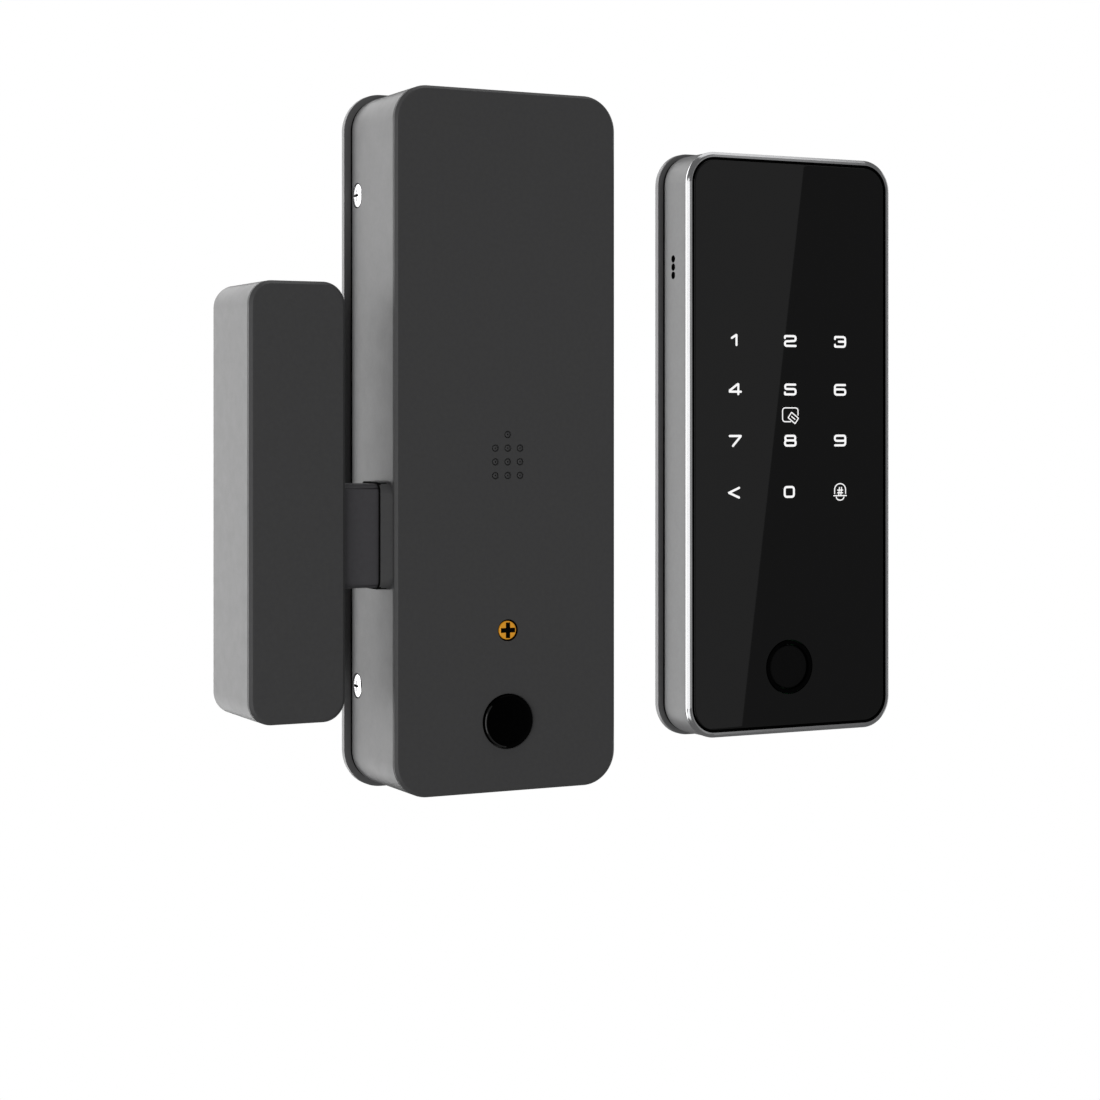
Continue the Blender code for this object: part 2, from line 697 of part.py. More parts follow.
def battery_tray():
    """Tray with a flat floor and cradle walls between the cells."""
    low_z = CELL_BOTTOM - 2.6
    high_z = CELL_BOTTOM + CELL_LENGTH + 2.6
    half = 2 * CELL_PITCH + 1.0
    floor = CELL_Y + CELL_R + GAP
    made = block("battery_tray", (-half, CELL_Y - 1.5, low_z), (half, floor + 1.4, high_z), "plastic", 0.6)
    inner = 2 * CELL_PITCH + 0.1
    tool = block("tray_hollow", (-inner, CELL_Y - 5, low_z + 0.9), (inner, floor, high_z - 0.9), "plastic")
    cut(made, tool)
    return made


def battery_contacts():
    low = CELL_BOTTOM
    high = CELL_BOTTOM + CELL_LENGTH
    front = CELL_Y - 4.5
    back = CELL_Y + 5.5
    half = 2 * CELL_PITCH - 1.2
    block("battery_contact_lower", (-half, front, low - 1.1), (half, back, low - 0.5), "bright")
    block("battery_contact_upper", (-half, front, high + 0.5), (half, back, high + 1.1), "bright")


# ---------------------------------------------------------------- strike box

def strike_shell():
    front = STRIKE_FRONT + STRIKE_COVER_T + GAP
    made = tray("strike_housing", STRIKE_W, STRIKE_H, STRIKE_R, STRIKE_WALL, front,
                STRIKE_BACK, STRIKE_BACK - STRIKE_FLOOR_T, STRIKE_BACK, (STRIKE_X, STRIKE_Z))
    right = STRIKE_X + STRIKE_W / 2
    half = BOLT_H / 2 + MOUTH_EASE
    mouth = block("strike_mouth", (right - 4, STRIKE_FRONT - 1, BOLT_Z - half),
                  (right + 1, BOLT_BACK + MOUTH_EASE, BOLT_Z + half), "steel")
    cut(made, mouth)
    for end in (-1, 1):
        hole_y(made, STRIKE_X, STRIKE_Z + end * STRIKE_SCREW_DZ, 2.3, STRIKE_BACK - 4, STRIKE_BACK + 1)
    return made


def strike_cover():
    return plate("strike_front_cover", STRIKE_W, STRIKE_H, STRIKE_R, STRIKE_FRONT,
                 STRIKE_FRONT + STRIKE_COVER_T, "charcoal", (STRIKE_X, STRIKE_Z), 1.0)


def strike_plate():
    half_w = STRIKE_PLATE_W / 2
    half_h = STRIKE_PLATE_H / 2
    made = block("strike_mounting_plate", (STRIKE_X - half_w, STRIKE_BACK + GAP, STRIKE_Z - half_h),
                 (STRIKE_X + half_w, 0, STRIKE_Z + half_h), "steel", 0.3)
    for end in (-1, 1):
        hole_y(made, STRIKE_X, STRIKE_Z + end * STRIKE_SCREW_DZ, 1.7, STRIKE_BACK - 1, 1)
        hole_y(made, STRIKE_X, STRIKE_Z + end * STRIKE_HOLE_DZ, 2.3, STRIKE_BACK - 1, 1)
    return made


def strike_keeper():
    """Steel pocket that the bolt enters, open to the right and to the front."""
    right = STRIKE_X + STRIKE_W / 2 - STRIKE_WALL - GAP
    front = STRIKE_FRONT + STRIKE_COVER_T + 2 * GAP
    outer = BOLT_H / 2 + KEEPER_WALL
    inner = BOLT_H / 2 + MOUTH_EASE
    made = block("strike_keeper", (STRIKE_X - 5.65, front, BOLT_Z - outer),
                 (right, BOLT_BACK + KEEPER_WALL, BOLT_Z + outer), "steel")
    hollow = block("keeper_hollow", (BOLT_TIP - 7.2, front - 1, BOLT_Z - inner),
                   (right + 1, BOLT_BACK + MOUTH_EASE, BOLT_Z + inner), "steel")
    cut(made, hollow)
    return made


def strike_fittings():
    block("strike_magnet", (STRIKE_X + 4, -16, 10), (STRIKE_X + 10.9, -8, 26), "bright", 0.4)
    for end, name in ((1, "strike_screw_upper"), (-1, "strike_screw_lower")):
        seat = STRIKE_BACK - STRIKE_FLOOR_T - GAP
        profile = [(seat - 2.0, 2.2), (seat - 1.6, 3.2), (seat, 3.5), (seat, 1.5), (-0.2, 1.5)]
        centre = (STRIKE_X, 0, STRIKE_Z + end * STRIKE_SCREW_DZ)
        screw = turned(name, profile, "bright", centre, "Y", 20)
        cross_recess(screw, centre, "Y", 3.6, 0.9, seat - 3, seat - 1.0)


# ---------------------------------------------------------------- keypad

def keypad_back_plate():
    made = plate("keypad_back_plate", PAD_W + 2 * PAD_LIP, PAD_H + 2 * PAD_LIP_END, PAD_R + PAD_LIP_END,
                 -PLATE_T, 0, "charcoal", (PAD_X, PAD_Z), 0.3)
    for side in (-1, 1):
        for end in (-1, 1):
            at = (PAD_X + side * PAD_HOLE_DX, PAD_Z + end * PAD_HOLE_DZ)
            hole_y(made, at[0], at[1], PLATE_HOLE_R, -PLATE_T - 1, 1)
    for end in (-1, 1):
        hole_y(made, PAD_X, PAD_Z + end * PAD_SCREW_DZ, 1.7, -PLATE_T - 1, 1, 12)
    slot_y(made, PAD_X, PAD_CABLE_Z, 16, 11, -PLATE_T - 1, 1, 2)
    return made


def keypad_gasket():
    back = -PLATE_T - GAP
    width = PAD_W - 2 * PAD_SIDE - 1.2
    height = PAD_H - 2 * PAD_SIDE - 1.2
    return gasket("keypad_gasket", width, height, PAD_R - PAD_SIDE - 0.6, back - 0.7, back, (PAD_X, PAD_Z))


def keypad_housing():
    width = PAD_W - 2 * PAD_SIDE
    height = PAD_H - 2 * PAD_SIDE
    front = PAD_FRONT + BEZEL_SEAT + GAP
    floor = PAD_BACK - PAD_FLOOR_T
    made = tray("keypad_housing", width, height, PAD_R - PAD_SIDE, WALL, front, PAD_BACK,
                floor, PAD_BACK, (PAD_X, PAD_Z))
    left = PAD_X - width / 2
    for index in range(3):
        hole_x(made, SIDE_HOLE_Y, SIDE_HOLE_Z - SIDE_HOLE_PITCH * index, SIDE_HOLE_R,
               left - 1, left + WALL + 1, 10)
    slot_y(made, PAD_X, PAD_CABLE_Z, 13, 9, floor - 1, PAD_BACK + 1, 1.5)
    for end in (-1, 1):
        z = PAD_Z + end * PAD_SCREW_DZ
        fuse(made, turned("pad_post", [(-11, 3.2), (floor + 0.6, 3.2)], "charcoal", (PAD_X, 0, z), "Y", 16))
        hole_y(made, PAD_X, z, 1.5, -9.5, -2, 12)
    return made


def keypad_screws():
    for end, name in ((1, "keypad_screw_upper"), (-1, "keypad_screw_lower")):
        centre = (PAD_X, 0, PAD_Z + end * PAD_SCREW_DZ)
        profile = [(-9.0, PAD_SCREW_R), (-0.9, PAD_SCREW_R), (-0.25, PAD_SCREW_R + 0.05)]
        turned(name, profile, "bright", centre, "Y", 16)


def keypad_bezel():
    """Frame with a bright chamfer round the glass and a skirt that seats inside the housing."""
    skirt_out = PAD_SIDE + WALL + GAP
    skirt_in = skirt_out + BEZEL_SKIRT_T
    seat = PAD_FRONT + BEZEL_SEAT
    pocket = PAD_FRONT + GLASS_SINK + GLASS_T + GLASS_TAPE
    profile = [(BEZEL_W, PAD_FRONT), (PAD_BEVEL, PAD_FRONT), (0, PAD_FRONT + PAD_BEVEL), (0, seat),
               (skirt_out, seat), (skirt_out, seat + BEZEL_SKIRT), (skirt_in, seat + BEZEL_SKIRT),
               (skirt_in, pocket), (BEZEL_W, pocket)]
    rings = [at_y(inset(PAD_W, PAD_H, PAD_R, amount), y) for amount, y in profile]
    return loft("keypad_bezel", rings, "bright", (PAD_X, 0, PAD_Z), loop=True)


def keypad_glass():
    front = PAD_FRONT + GLASS_SINK
    made = plate("keypad_glass", PAD_W - 2 * GLASS_INSET, PAD_H - 2 * GLASS_INSET, PAD_R - GLASS_INSET,
                 front, front + GLASS_T, "black_gloss", (PAD_X, PAD_Z), 0.2)
    hole_y(made, READER_X, READER_Z, READER_R + GAP, front - 1, front + GLASS_T + 1, 32)
    return made


def fingerprint_reader():
    front = PAD_FRONT + GLASS_SINK
    steps = 32
    ring_inner = READER_R - READER_RING_W
    outer = circle(READER_R, steps)
    lip = circle(READER_R - 0.3, steps)
    inner = circle(ring_inner, steps)
    back = front + READER_DEPTH
    rings = [at_y(lip, front - 0.15), at_y(outer, front + 0.1), at_y(outer, back),
             at_y(inner, back), at_y(inner, front + 0.2)]
    centre = (READER_X, 0, READER_Z)
    loft("fingerprint_ring", rings, "black_gloss", centre, loop=True)
    face_r = ring_inner - GAP
    profile = [(front + 0.35, face_r - 0.55), (front + 0.45, face_r), (back, face_r)]
    turned("fingerprint_sensor", profile, "plastic", centre, "Y", steps)


def keypad_electronics():
    back = TOUCH_BACK
    half = TOUCH_W / 2
    board = block("touch_board", (PAD_X - half, back - TOUCH_T, -80), (PAD_X + half, back, 76), "board")
    for x, z, w, h in ((-14, -50, 10, 10), (13, -52, 7, 7)):
        low = (PAD_X + x - w / 2, back - 0.4, z - h / 2)
        high = (PAD_X + x + w / 2, back + 1.4, z + h / 2)
        fuse(board, block("touch_part", low, high, "plastic"))
    outer = rounded(ANTENNA_W, ANTENNA_H, 3, 3)
    inner = rounded(ANTENNA_W - 2 * ANTENNA_BAND, ANTENNA_H - 2 * ANTENNA_BAND, 2, 3)
    front = back + 0.5
    rings = [at_y(outer, front), at_y(outer, front + 0.7), at_y(inner, front + 0.7), at_y(inner, front)]
    loft("card_antenna", rings, "copper", (PAD_X, 0, ANTENNA_Z), loop=True)
    left = PAD_X - PAD_W / 2 + PAD_SIDE + WALL + GAP
    block("keypad_speaker", (left, -10.6, 42), (left + 5, -5.5, 60), "plastic", 0.4)


# ---------------------------------------------------------------- assembly

def build_lock_body():
    lock_back_plate()
    lock_gasket()
    lock_housing()
    lock_front_cover()
    housing_screws()
    cover_screw()
    unlock_button()


def build_mechanism():
    latch_bolt()
    drive_gear()
    gear_axle()
    motor_pinion()
    gear_motor()
    motor_strap()
    mechanism_plate()
    bolt_guides()


def build_electrics():
    control_board()
    button_switch()
    cable_sockets()
    buzzer()
    batteries()
    battery_tray()
    battery_contacts()


def build_strike():
    strike_shell()
    strike_cover()
    strike_plate()
    strike_keeper()
    strike_fittings()


def build_keypad():
    keypad_back_plate()
    keypad_gasket()
    keypad_housing()
    keypad_screws()
    keypad_bezel()
    keypad_glass()
    fingerprint_reader()
    keypad_electronics()


clear_scene()
build_lock_body()
build_mechanism()
build_electrics()
build_strike()
build_keypad()
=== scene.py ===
import json
import math

import bmesh
import bpy
from mathutils import Matrix, Vector

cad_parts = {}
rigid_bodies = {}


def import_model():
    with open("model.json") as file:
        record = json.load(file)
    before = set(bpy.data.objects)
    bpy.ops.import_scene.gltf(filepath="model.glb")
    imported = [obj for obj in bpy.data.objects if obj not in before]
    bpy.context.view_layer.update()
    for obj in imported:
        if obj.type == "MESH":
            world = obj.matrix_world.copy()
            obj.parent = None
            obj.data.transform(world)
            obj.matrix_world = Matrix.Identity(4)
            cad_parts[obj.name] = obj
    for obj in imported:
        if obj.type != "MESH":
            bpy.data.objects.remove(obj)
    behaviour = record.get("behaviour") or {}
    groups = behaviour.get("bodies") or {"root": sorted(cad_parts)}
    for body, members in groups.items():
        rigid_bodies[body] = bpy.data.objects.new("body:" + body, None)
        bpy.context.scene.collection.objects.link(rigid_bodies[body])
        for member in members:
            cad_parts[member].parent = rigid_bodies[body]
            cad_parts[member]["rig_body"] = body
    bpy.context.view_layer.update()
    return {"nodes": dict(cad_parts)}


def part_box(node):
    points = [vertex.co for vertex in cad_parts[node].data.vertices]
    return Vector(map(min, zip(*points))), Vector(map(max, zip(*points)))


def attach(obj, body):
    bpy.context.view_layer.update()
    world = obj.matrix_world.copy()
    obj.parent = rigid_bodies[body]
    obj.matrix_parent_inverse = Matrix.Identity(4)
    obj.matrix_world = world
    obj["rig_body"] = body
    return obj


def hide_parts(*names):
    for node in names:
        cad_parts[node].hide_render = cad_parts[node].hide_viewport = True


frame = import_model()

MM = 0.001
CORNER = 20                   # steps in each rounded corner of a shell

# Rounding of the finished edges, in millimetres. Sizes and places come from the CAD boxes.
PAINT_EDGE = 0.25
PLATE_EDGE = 0.16
PLATE_T = 2.0
PLATE_HOLE_R = 2.25
PLATE_CONE_R = 4.0
SEAL_INSET = 0.12             # how far each seal stops short of the wall that it carries
SEAL_SWELL = 0.2


# ---- frame measures, in millimetres

class Span:
    """A CAD node's box in millimetres."""

    def __init__(self, node):
        low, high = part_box(node)
        self.low = [value / MM for value in low]
        self.high = [value / MM for value in high]
        self.size = [b - a for a, b in zip(self.low, self.high)]
        self.mid = [(a + b) / 2 for a, b in zip(self.low, self.high)]


def body_of(node):
    return frame["nodes"][node]["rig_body"]


# ---- mesh tools

def rounded(width, height, radius, steps=CORNER):
    """Outline of a rounded rectangle about the origin, anticlockwise."""
    points = []
    for sx, sz, start in ((1, 1, 0), (-1, 1, 90), (-1, -1, 180), (1, -1, 270)):
        cx = sx * (width / 2 - radius)
        cz = sz * (height / 2 - radius)
        for step in range(steps + 1):
            angle = math.radians(start + 90 * step / steps)
            points.append((cx + radius * math.cos(angle), cz + radius * math.sin(angle)))
    return points


def inset(width, height, radius, amount, steps=CORNER):
    return rounded(width - 2 * amount, height - 2 * amount, max(radius - amount, 0.3), steps)


def circle(radius, steps):
    angles = [2 * math.pi * step / steps for step in range(steps)]
    return [(radius * math.cos(angle), radius * math.sin(angle)) for angle in angles]


def at_y(outline, y, centre=(0, 0)):
    return [(x + centre[0], y, z + centre[1]) for x, z in outline]


def at_x(outline, x, centre=(0, 0)):
    return [(x, y + centre[0], z + centre[1]) for y, z in outline]


def at_z(outline, z, centre=(0, 0)):
    return [(x + centre[0], y + centre[1], z) for x, y in outline]


def add_object(name, data):
    obj = bpy.data.objects.new(name, data)
    bpy.context.scene.collection.objects.link(obj)
    return obj


def mesh_object(name, maker, angle=30):
    bmesh.ops.recalc_face_normals(maker, faces=maker.faces)
    mesh = bpy.data.meshes.new(name)
    maker.to_mesh(mesh)
    maker.free()
    smooth(mesh, angle)
    return add_object(name, mesh)


def smooth(mesh, angle=30):
    mesh.shade_smooth()
    mesh.set_sharp_from_angle(angle=math.radians(angle))


def vertices(maker, ring):
    """New vertices at the points of a ring, given in millimetres."""
    return [maker.verts.new([value * MM for value in point]) for point in ring]


def loft(name, rings, loop=False, angle=30):
    """Skins rings of equal point counts, given in mm; the ends are capped unless they close in a loop."""
    maker = bmesh.new()
    rows = [vertices(maker, ring) for ring in rings]
    pairs = list(zip(rows, rows[1:]))
    if loop:
        pairs.append((rows[-1], rows[0]))
    else:
        maker.faces.new(rows[0])
        maker.faces.new(rows[-1])
    count = len(rows[0])
    for low, high in pairs:
        for index in range(count):
            after = (index + 1) % count
            maker.faces.new((low[index], low[after], high[after], high[index]))
    return mesh_object(name, maker, angle)


def shell(name, size, radius, profile, centre, loop=False, steps=CORNER):
    """Rounded-rectangle body: profile holds (inset, y) pairs from one end cap to the other."""
    rings = [at_y(inset(size[0], size[2], radius, amount, steps), y, centre) for amount, y in profile]
    return loft(name, rings, loop)


def across(axis, centre):
    """How an outline drawn across the axis is placed, and where its middle goes."""
    if axis == "Y":
        return at_y, (centre[0], centre[2])
    if axis == "X":
        return at_x, (centre[1], centre[2])
    return at_z, (centre[0], centre[1])


def turned(name, profile, centre, axis, steps, loop=False):
    """Solid of revolution: profile holds (position along the axis, radius) pairs."""
    place, middle = across(axis, centre)
    return loft(name, [place(circle(radius, steps), position, middle) for position, radius in profile], loop)


def cylinder(start, end, radius, centre, axis, steps):
    return turned("cylinder", [(min(start, end), radius), (max(start, end), radius)], centre, axis, steps)


def block(name, low, high):
    ring = [(high[0], high[2]), (low[0], high[2]), (low[0], low[2]), (high[0], low[2])]
    return loft(name, [at_y(ring, low[1]), at_y(ring, high[1])])


def slot_cutter(size, centre, y_low, y_high):
    """Cutter for a cable slot; size holds its width, height and corner radius."""
    return loft("slot", [at_y(rounded(*size, 6), y, centre) for y in (y_low, y_high)])


def arc(steps, first=0):
    """(1 - cos, sin) at equal steps through a quarter turn."""
    angles = [math.pi / 2 * step / steps for step in range(first, steps + 1)]
    return [(1 - math.cos(angle), math.sin(angle)) for angle in angles]


def apply_modifiers(obj):
    graph = bpy.context.evaluated_depsgraph_get()
    mesh = bpy.data.meshes.new_from_object(obj.evaluated_get(graph))
    obj.modifiers.clear()
    obj.data = mesh


def carve(obj, tools, operation="DIFFERENCE"):
    """Cuts or joins each tool and removes it. A tool's own finish passes to the faces that it makes."""
    for tool in tools:
        modifier = obj.modifiers.new("Cut", "BOOLEAN")
        modifier.operation = operation
        modifier.solver = "EXACT"
        modifier.material_mode = "TRANSFER" if tool.data.materials else "INDEX"
        modifier.object = tool
    apply_modifiers(obj)
    for tool in tools:
        bpy.data.objects.remove(tool, do_unlink=True)
    clean(obj)
    return obj


def clean(obj):
    maker = bmesh.new()
    maker.from_mesh(obj.data)
    bmesh.ops.remove_doubles(maker, verts=maker.verts, dist=1e-6)
    bmesh.ops.dissolve_degenerate(maker, dist=1e-7, edges=maker.edges)
    maker.to_mesh(obj.data)
    maker.free()
    smooth(obj.data)


def join(name, objects):
    """Joins separate meshes into one object."""
    maker = bmesh.new()
    for obj in objects:
        maker.from_mesh(obj.data)
    made = mesh_object(name, maker)
    for obj in objects:
        bpy.data.objects.remove(obj, do_unlink=True)
    return made


def flatten_faces(obj):
    """Large faces keep their own normals, so that only the small ones beside them look rounded."""
    modifier = obj.modifiers.new("Weighted", "WEIGHTED_NORMAL")
    modifier.keep_sharp = True
    apply_modifiers(obj)


def tint(obj, base, finish, test):
    """Gives the finish to the faces whose centre, in mm, passes the test, and the base to the others."""
    if not obj.data.materials:
        obj.data.materials.append(base)
    obj.data.materials.append(finish)
    for face in obj.data.polygons:
        if test(face.center / MM):
            face.material_index = len(obj.data.materials) - 1


def dress(obj, node, finish):
    """The piece stands for a CAD node, rides on its body and wears the finish."""
    if not obj.data.materials:
        obj.data.materials.append(finish)
    flatten_faces(obj)
    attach(obj, body_of(node))
    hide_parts(node)
    return obj


def add_on(obj, body, finish):
    """An extra visible piece with no CAD node of its own."""
    obj.data.materials.clear()
    obj.data.materials.append(finish)
    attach(obj, body)
    return obj


def refine(node, finish, bevel):
    """Copy of a CAD node with softened edges and smooth round faces."""
    angle = 35
    maker = bmesh.new()
    maker.from_mesh(frame["nodes"][node].data)
    bmesh.ops.remove_doubles(maker, verts=maker.verts, dist=1e-6)
    bmesh.ops.dissolve_limit(maker, angle_limit=math.radians(0.5), verts=maker.verts, edges=maker.edges)
    obj = mesh_object(node + "_fine", maker, angle)
    modifier = obj.modifiers.new("Bevel", "BEVEL")
    modifier.width = bevel * MM
    modifier.segments = 2
    modifier.limit_method = "ANGLE"
    modifier.angle_limit = math.radians(angle)
    apply_modifiers(obj)
    smooth(obj.data, angle)
    return dress(obj, node, finish)


# ---- material tools

class Finish:
    """A Principled material with a few short ways to add procedural detail."""

    def __init__(self, name, roughness, metallic=0.0, **sockets):
        self.material = bpy.data.materials.new(name)
        self.material.use_nodes = True
        self.tree = self.material.node_tree
        self.shader = self.tree.nodes["Principled BSDF"]
        self.shader.inputs["Roughness"].default_value = roughness
        self.shader.inputs["Metallic"].default_value = metallic
        for socket, value in sockets.items():
            self.shader.inputs[socket.replace("_", " ")].default_value = value
        self.coords = self.tree.nodes.new("ShaderNodeTexCoord").outputs["Object"]
        self.normal = None

    def node(self, kind, inputs=None, **settings):
        made = self.tree.nodes.new(kind)
        for key, value in settings.items():
            setattr(made, key, value)
        for key, value in (inputs or {}).items():
            if isinstance(value, bpy.types.NodeSocket):
                self.tree.links.new(value, made.inputs[key])
            else:
                made.inputs[key].default_value = value
        return made

    def stretched(self, scale):
        return self.node("ShaderNodeMapping", {"Vector": self.coords, "Scale": scale}).outputs["Vector"]

    def noise(self, scale, detail=3.0, vector=None):
        inputs = {"Vector": vector or self.coords, "Scale": scale, "Detail": detail, "Roughness": 0.55}
        return self.node("ShaderNodeTexNoise", inputs).outputs["Fac"]

    def ramp(self, value, stops):
        """Colour ramp; stops are (position, colour) pairs."""
        made = self.node("ShaderNodeValToRGB", {"Fac": value})
        elements = made.color_ramp.elements
        while len(elements) < len(stops):
            elements.new(0.5)
        for element, (position, colour) in zip(elements, stops):
            element.position = position
            element.color = (*colour, 1)
        return made.outputs["Color"]

    def remap(self, value, low, high):
        """Spreads the usual range of a noise over low to high."""
        inputs = {"Value": value, "From Min": 0.3, "From Max": 0.7, "To Min": low, "To Max": high}
        return self.node("ShaderNodeMapRange", inputs).outputs["Result"]

    def blend(self, factor, first, second):
        made = self.node("ShaderNodeMix", data_type="RGBA")
        self.tree.links.new(factor, made.inputs["Factor"])
        for socket, value in ((made.inputs[6], first), (made.inputs[7], second)):
            if isinstance(value, bpy.types.NodeSocket):
                self.tree.links.new(value, socket)
            else:
                socket.default_value = (*value, 1)
        return made.outputs[2]

    def colour(self, value):
        self.tree.links.new(value, self.shader.inputs["Base Color"])
        return self

    def mottle(self, colour, amount, scale):
        """Base colour that drifts a little either way."""
        dark = [value * (1 - amount) for value in colour]
        light = [value * (1 + amount) for value in colour]
        return self.colour(self.ramp(self.noise(scale), ((0.3, dark), (0.7, light))))

    def roughness(self, low, high, scale, vector=None):
        value = self.remap(self.noise(scale, vector=vector), low, high)
        self.tree.links.new(value, self.shader.inputs["Roughness"])
        return self

    def bump(self, height, strength, distance):
        """Adds a bump; bumps added one after another build up."""
        inputs = {"Height": height, "Strength": strength, "Distance": distance * MM}
        if self.normal:
            inputs["Normal"] = self.normal
        self.normal = self.node("ShaderNodeBump", inputs).outputs["Normal"]
        self.tree.links.new(self.normal, self.shader.inputs["Normal"])
        return self

    def maths(self, operation, first, second):
        return self.node("ShaderNodeMath", {0: first, 1: second}, operation=operation).outputs[0]

    def band(self, value, low, high):
        """1 between two values, else 0."""
        above = self.maths("GREATER_THAN", value, low)
        return self.maths("MULTIPLY", above, self.maths("LESS_THAN", value, high))


# ---- materials

WORLD_LIGHT = 0.15            # light that reaches the object from all round


def plain(name, roughness, metallic, colour, drift, gloss, grain, stretch=None, **sockets):
    """Finish whose colour and gloss drift a little, under one fine bump, which stretch can draw out.

    drift is (amount, scale), gloss (low, high, scale) and grain (scale, detail, strength, distance).
    """
    made = Finish(name, roughness, metallic, **sockets)
    made.mottle(colour, *drift)
    made.roughness(*gloss)
    vector = made.stretched(stretch) if stretch else None
    made.bump(made.noise(*grain[:2], vector=vector), *grain[2:])
    return made.material


def satin_paint(name, colour):
    """Satin powder coat: fine orange peel under a softer, larger drift in gloss."""
    made = Finish(name, 0.4, 0.0, Specular_IOR_Level=0.42)
    made.mottle(colour, 0.04, 900)
    made.roughness(0.37, 0.42, 260)
    made.bump(made.noise(2600, 2), 0.08, 0.015)
    made.bump(made.noise(600, 2), 0.03, 0.02)
    return made.material


def plated_steel(name, dark, light):
    """Zinc-plated sheet with rolled grain and faint blotches."""
    made = Finish(name, 0.32, 1.0)
    grain = made.noise(1.0, 4, vector=made.stretched((300, 300, 9000)))
    blotch = made.noise(160, 3)
    made.colour(made.blend(made.remap(blotch, 0, 1), dark, light))
    made.roughness(0.24, 0.42, 400)
    made.bump(grain, 0.12, 0.02)
    return made.material


def bright_trim():
    """Machined and polished aluminium frame with fine lines along it."""
    made = Finish("bright_trim", 0.22, 1.0)
    made.mottle((0.70, 0.703, 0.715), 0.015, 700)
    made.roughness(0.13, 0.2, 1.0, made.stretched((2500, 2500, 60)))
    made.bump(made.noise(1.0, 2, vector=made.stretched((5000, 5000, 90))), 0.015, 0.01)
    return made.material


def black_glass():
    """Back-printed glass: a deep black body under a hard polished coat."""
    made = Finish("black_glass", 0.5, 0.0, IOR=1.45, Specular_IOR_Level=0.0,
                  Coat_Weight=1.0, Coat_Roughness=0.01, Coat_IOR=1.5)
    made.mottle((0.0048, 0.0048, 0.0052), 0.06, 300)
    made.roughness(0.42, 0.55, 700)
    return made.material


def circuit_board():
    """Solder mask over copper tracks, with a scatter of via holes."""
    made = Finish("circuit_board", 0.35, 0.0, Coat_Weight=0.5, Coat_Roughness=0.12)
    bricks = {"Vector": made.stretched((1, 0.001, 1)), "Scale": 210.0, "Mortar Size": 0.012,
              "Brick Width": 1.7, "Row Height": 0.55}
    tracks = made.node("ShaderNodeTexBrick", bricks).outputs["Fac"]
    cells = made.node("ShaderNodeTexVoronoi", {"Vector": made.coords, "Scale": 260.0}).outputs["Distance"]
    vias = made.maths("LESS_THAN", cells, 0.12)
    mask = made.ramp(made.noise(350), ((0.3, (0.006, 0.075, 0.03)), (0.7, (0.010, 0.11, 0.045))))
    tracked = made.blend(tracks, mask, (0.03, 0.22, 0.08))
    made.colour(made.blend(vias, tracked, (0.55, 0.5, 0.3)))
    made.bump(tracks, 0.3, 0.03)
    made.roughness(0.28, 0.42, 900)
    return made.material


def cell_sleeve(base, top):
    """Printed sleeve: a dark body, a copper-coloured band towards the positive end, bare metal ends."""
    made = Finish("cell_sleeve", 0.25, 0.0, Coat_Weight=0.7, Coat_Roughness=0.08)
    height = made.node("ShaderNodeSeparateXYZ", {"Vector": made.coords}).outputs["Z"]
    length = top - base
    shade = made.ramp(made.noise(500), ((0.3, (0.010, 0.012, 0.016)), (0.7, (0.014, 0.017, 0.022))))
    band = made.band(height, (base + length * 0.76) * MM, (base + length * 0.962) * MM)
    line = made.band(height, (base + length * 0.735) * MM, (base + length * 0.745) * MM)
    banded = made.blend(band, shade, (0.60, 0.26, 0.09))
    lined = made.blend(line, banded, (0.62, 0.62, 0.60))
    body = made.band(height, (base + 0.8) * MM, (base + length * 0.962) * MM)
    made.colour(made.blend(body, (0.62, 0.62, 0.63), lined))
    made.tree.links.new(made.maths("SUBTRACT", 1.0, body), made.shader.inputs["Metallic"])
    made.roughness(0.2, 0.32, 900)
    made.bump(made.noise(1400, 2), 0.04, 0.02)
    return made.material


def legend_ink():
    # The printed ink is given a white glow (emission): painted light that keeps the legends bright white.
    made = Finish("legend_ink", 0.45, 0.0, Emission_Color=(1, 1, 1, 1), Emission_Strength=0.74)
    made.mottle((0.86, 0.86, 0.87), 0.03, 2500)
    made.bump(made.noise(6000, 2), 0.08, 0.005)
    return made.material


def white_to_camera(tree, kind, output):
    """Shows as white, and gives the object a softer light."""
    tree.nodes.clear()
    mixed = tree.nodes.new("ShaderNodeMixShader")
    seen = tree.nodes.new("ShaderNodeLightPath").outputs["Is Camera Ray"]
    tree.links.new(seen, mixed.inputs[0])
    for index, strength in ((1, WORLD_LIGHT), (2, 1.0)):
        source = tree.nodes.new(kind)
        source.inputs["Color"].default_value = (1, 1, 1, 1)
        source.inputs["Strength"].default_value = strength
        tree.links.new(source.outputs[0], mixed.inputs[index])
    tree.links.new(mixed.outputs[0], tree.nodes.new(output).inputs[0])


def stage_floor():
    made = bpy.data.materials.new("stage_floor")
    made.use_nodes = True
    white_to_camera(made.node_tree, "ShaderNodeEmission", "ShaderNodeOutputMaterial")
    return made


